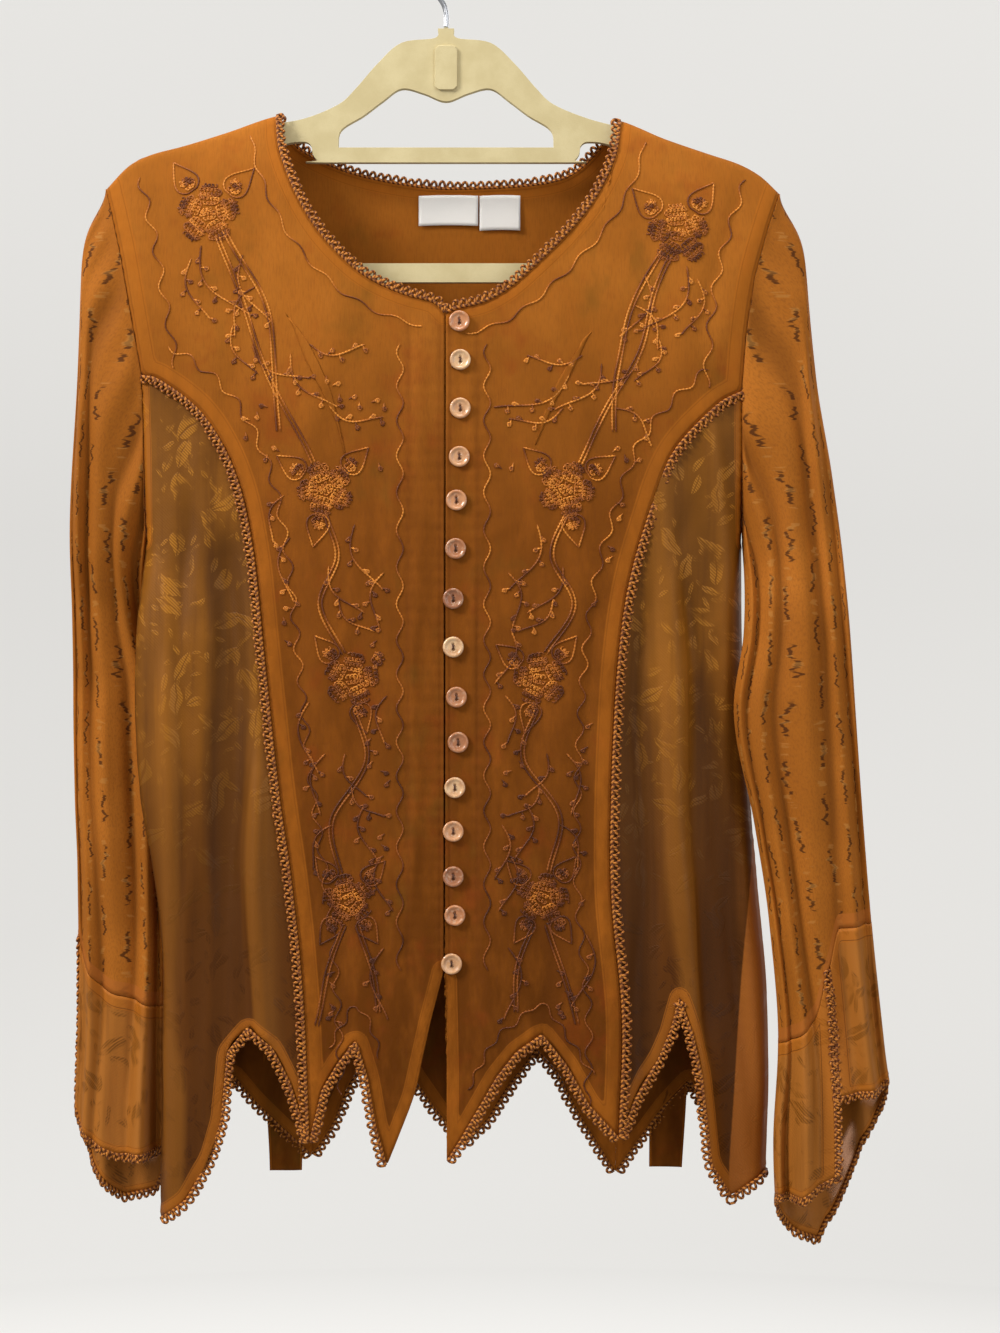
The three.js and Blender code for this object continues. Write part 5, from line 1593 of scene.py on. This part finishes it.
# Lines of sewing
PRINCESS_LINES = {side: princess_line(side, FRONT) for side in SIDES}
BACK_PRINCESS = {side: princess_line(side, BACK) for side in SIDES}
ARMHOLE_LINES = {side: spline([*UPPER_ARMHOLE[side], PRINCESS[side][0]]) for side in SIDES}
LOWER_LINES = {side: spline([PRINCESS[side][0], *LOWER_ARMHOLE[side]]) for side in SIDES}
HEM_LINES = {name: resampled(np.array(rows, float), 4) for name, rows in HEM.items()}
NECK_LINES = {name: spline(rows) for name, rows in NECK.items()}


# Sewn line down the right side front: x, z
RIGHT_TUCK = [(199, -530), (194, -560), (188, -620), (182, -700), (177, -790)]


def shoulder_rows(low, high):
    return [row for row in SHOULDER if low < row[0] < high]


def sharp(rows):
    """Rows where a hem line turns sharply, so that its tips stay pointed."""
    p = np.array(rows, float)
    found = []
    for i in range(1, len(p) - 1):
        a, b = p[i] - p[i - 1], p[i + 1] - p[i]
        turn = math.degrees(math.acos(np.clip(a @ b / (np.linalg.norm(a) * np.linalg.norm(b)), -1, 1)))
        if turn > 62:
            found.append(i)
    return found


def centre_front(side):
    is_left = side == "left"
    left_neck = [*shoulder_rows(-215, -108), *NECK["left"]]
    neck = left_neck if is_left else [*NECK["right"], *shoulder_rows(111, 211)]
    hem = filled_to(HEM[f"front_{side}"], len(neck))
    turn = neck.index(NECK[side][0 if is_left else -1])
    head, foot = (neck[-1], hem[-1]) if is_left else (neck[0], hem[0])
    seam, centre = outer_seam(side, FRONT), stop_path([head, foot])
    ends = (seam, centre) if is_left else (centre, seam)
    edges = (soft_stop_path(neck, [turn]), soft_stop_path(hem, sharp(hem)), *ends)
    bands = [
        (NECK_LINES[side], 7.5), (ARMHOLE_LINES[side], 11), (PRINCESS_LINES[side], 10.5),
        (HEM_LINES[f"front_{side}"], 7.5),
    ]
    rows = (-23, -3) if is_left else (20, 3)
    grooves = [np.array([(x, -250), (x, foot[1])], float) for x in rows]
    return Panel(f"front_{side}", FRONT, edges, bands, 11 if is_left else 12, grooves)


def side_panel(side, face, seed):
    is_left = side == "left"
    hem_name = f"side_{side}" if face is FRONT else f"side_back_{side}"
    hem = HEM[hem_name]
    princess = along_path(princess_line(side, face))
    outer = side_seam(side, hem[0 if is_left else -1])
    over = princess(np.linspace(0, TURN, 13))

    def inner(t):
        return princess(TURN + (1 - TURN) * np.asarray(t, float))

    ends = (outer, inner) if is_left else (inner, outer)
    edges = (along_path(over if is_left else over[::-1]), soft_stop_path(hem, sharp(hem)), *ends)
    bands = [(HEM_LINES[hem_name], 6.5), (LOWER_LINES[side], 5)]
    if face is BACK:
        return Panel(f"side_back_{side}", BACK, edges, [*bands, (BACK_PRINCESS[side], 5)], seed)
    grooves = [] if is_left else [np.array(RIGHT_TUCK, float)]
    return Panel(f"side_front_{side}", FRONT, edges, bands, seed, grooves)


def centre_back():
    neck = [*shoulder_rows(-215, -108), *NECK["back"], *shoulder_rows(111, 211)]
    hem = filled_to(HEM["back_centre"], len(neck))
    turns = [neck.index(NECK["back"][0]), neck.index(NECK["back"][-1])]
    edges = (
        soft_stop_path(neck, turns), soft_stop_path(hem, sharp(hem)), outer_seam("left", BACK),
        outer_seam("right", BACK),
    )
    bands = [(NECK_LINES["back"], 7.5), (HEM_LINES["back_centre"], 7.5)]
    bands += [(line, 5) for line in (*ARMHOLE_LINES.values(), *BACK_PRINCESS.values())]
    return Panel("back_centre", BACK, edges, bands, 13)


fronts = {side: centre_front(side) for side in SIDES}
for side, front in fronts.items():
    front.build(84, 176, RAYON, "rayon", shoulder=True)
    for face, material, slot, seed in ((FRONT, FIGURED, "figured_rayon", 21), (BACK, RAYON, "rayon", 31)):
        panel = side_panel(side, face, seed + len(side))
        panel.build(44, 170, material, slot)
back = centre_back()
back.build(150, 160, RAYON, "rayon", shoulder=True)

# Braid on every edge that has it
for side in SIDES:
    body_braid(f"neck_{side}_picots", f"neck_trim_{side}", FRONT, NECK_LINES[side], -1)
    seam, outward = PRINCESS_LINES[side], -OUTWARD[side]
    body_braid(f"princess_{side}_picots", f"princess_trim_{side}", FRONT, seam, outward, lift=0.5)
    cuff_braid(side)
body_braid("neck_back_picots", "neck_trim_back", BACK, NECK_LINES["back"], -1)
HEM_BRAIDS = [
    ("side_left", FRONT, HEM["side_left"], "hem_trim_side_left"),
    ("front_left", FRONT, HEM["front_left"][:7], "hem_trim_front_left"),
    ("front_right", FRONT, HEM["front_right"][2:], "hem_trim_front_right"),
    ("side_right", FRONT, HEM["side_right"], "hem_trim_side_right"),
    ("back_left", BACK, HEM["side_back_left"], "hem_trim_back_left"),
    ("back_centre", BACK, HEM["back_centre"], "hem_trim_back"),
    ("back_right", BACK, HEM["side_back_right"], "hem_trim_back_right"),
]
for name, face, rows, node in HEM_BRAIDS:
    body_braid(f"hem_{name}_picots", node, face, rows, 1)

# Sleeves and cuffs
sleeves = {side: sleeve(side) for side in SIDES}
cuffs = {side: cuff(side) for side in SIDES}

# Embroidery, with wavy borders inside the seams
HEM_BORDERS = {
    "left": [(-72, -698), (-64, -684), (-55, -672), (-46, -684), (-40, -704)],
    "right": [(14, -724), (30, -694), (44, -682), (60, -672), (76, -692), (92, -716)],
}
for side, front in fronts.items():
    turn = OUTWARD[side]
    placket_x = -28 if side == "left" else 26
    borders = [
        (shifted(PRINCESS_LINES[side][20:-8], 21 * turn), 2.4, 21),
        (shifted(NECK_LINES[side][24:-6], 16), 1.4, 24),
        (shifted(ARMHOLE_LINES[side], 23 * turn), 2.4, 23), (spline(HEM_BORDERS[side], 80), 1.6, 16),
        (np.array([(placket_x, -262), (placket_x, -650)], float), 2.1, 22),
    ]
    embroider(side, front, borders)

# Buttons, hanger, hook, ties and labels
for i, (x, z, shade) in enumerate(BUTTONS):
    button(i + 1, x, z, shell_material(shade))
hanger(velvet_material())
hook(steel_material())
ties = {side: tie(side, x) for side, x in (("left", -104), ("right", 141))}
labels = {
    "label_main": label("label_main", -18, 20, -161, -180),
    "label_side": label("label_side", 21, 47, -161, -183),
}


# Studio: a plain pale floor and wall, soft lamps and the camera
def backdrop():
    """Round floor that curves up into a wall, seen by the camera alone."""
    look = Look("pale")
    pale = np.array(srgb(240, 239, 236))
    look.base = look.blend(look.noise(look.place, 0.8, 2.0), [*pale], [*(pale * [0.985, 0.985, 0.985, 1])])
    radius, bend, floor, top, around = 5.0, 1.6, -1.7, 5.0, 96
    angle = np.linspace(0, math.pi / 2, 14)
    profile = [(0.01, floor), (radius - bend, floor)]
    profile += [(radius - bend + bend * math.sin(a), floor + bend - bend * math.cos(a)) for a in angle]
    profile.append((radius, top))
    turn = 2 * np.pi * np.arange(around) / around
    rows = [[(r * math.cos(a), r * math.sin(a), z) for a in turn] for r, z in profile]
    made = mesh_from("backdrop", np.array(rows) / MM, grid_faces(len(rows), around, wraps=True))
    made.data.materials.append(look.finish(0.9))
    made.visible_diffuse = False
    made.visible_glossy = False
    made.visible_transmission = False
    made.visible_shadow = False


backdrop()


def lamp(name, place, aim, size, power, colour=(1, 1, 1)):
    data = bpy.data.lights.new(name, "AREA")
    data.shape = "SQUARE"
    data.size = size
    data.energy = power
    data.color = colour
    made = new_object(name, data)
    made.location = place
    way = np.array(aim, float) - np.array(place, float)
    made.rotation_euler = Vector(way).to_track_quat("-Z", "Y").to_euler()


MIDDLE = (0.03, 0.0, -0.42)
lamp("key", (-2.2, -1.35, 1.25), MIDDLE, 0.9, 84, (1.0, 0.98, 0.95))
lamp("fill", (1.8, -2.4, 0.3), MIDDLE, 2.0, 26, (0.97, 0.98, 1.0))
lamp("top", (0.1, -0.5, 1.9), MIDDLE, 1.2, 36)
lamp("back_left", (-1.8, 2.2, 1.2), MIDDLE, 1.4, 34)
lamp("back_right", (1.8, 2.2, 0.6), MIDDLE, 1.4, 20)
for corner_x in (-2.4, 2.4):
    for corner_y in (-1.6, 1.6):
        lamp("wall", (corner_x / 2, corner_y, 2.6), (corner_x * 1.6, corner_y * 3, 0.2), 2.0, 44)

world = bpy.data.worlds.new("soft_room")
bpy.context.scene.world = world
world.use_nodes = True
sky = world.node_tree.nodes["Background"]
sky.inputs["Color"].default_value = srgb(240, 239, 238)
sky.inputs["Strength"].default_value = 0.46

CAMERA_X, CAMERA_Z, CAMERA_AWAY = 0.034, -0.462, 1.5
view = bpy.data.cameras.new("camera")
view.lens = 64.2
view.clip_end = 60
camera = new_object("camera", view)
camera.location = (CAMERA_X, -CAMERA_AWAY, CAMERA_Z)
camera.rotation_euler = (math.radians(90), 0, 0)
bpy.context.scene.camera = camera

bpy.context.scene.view_settings.view_transform = "Standard"
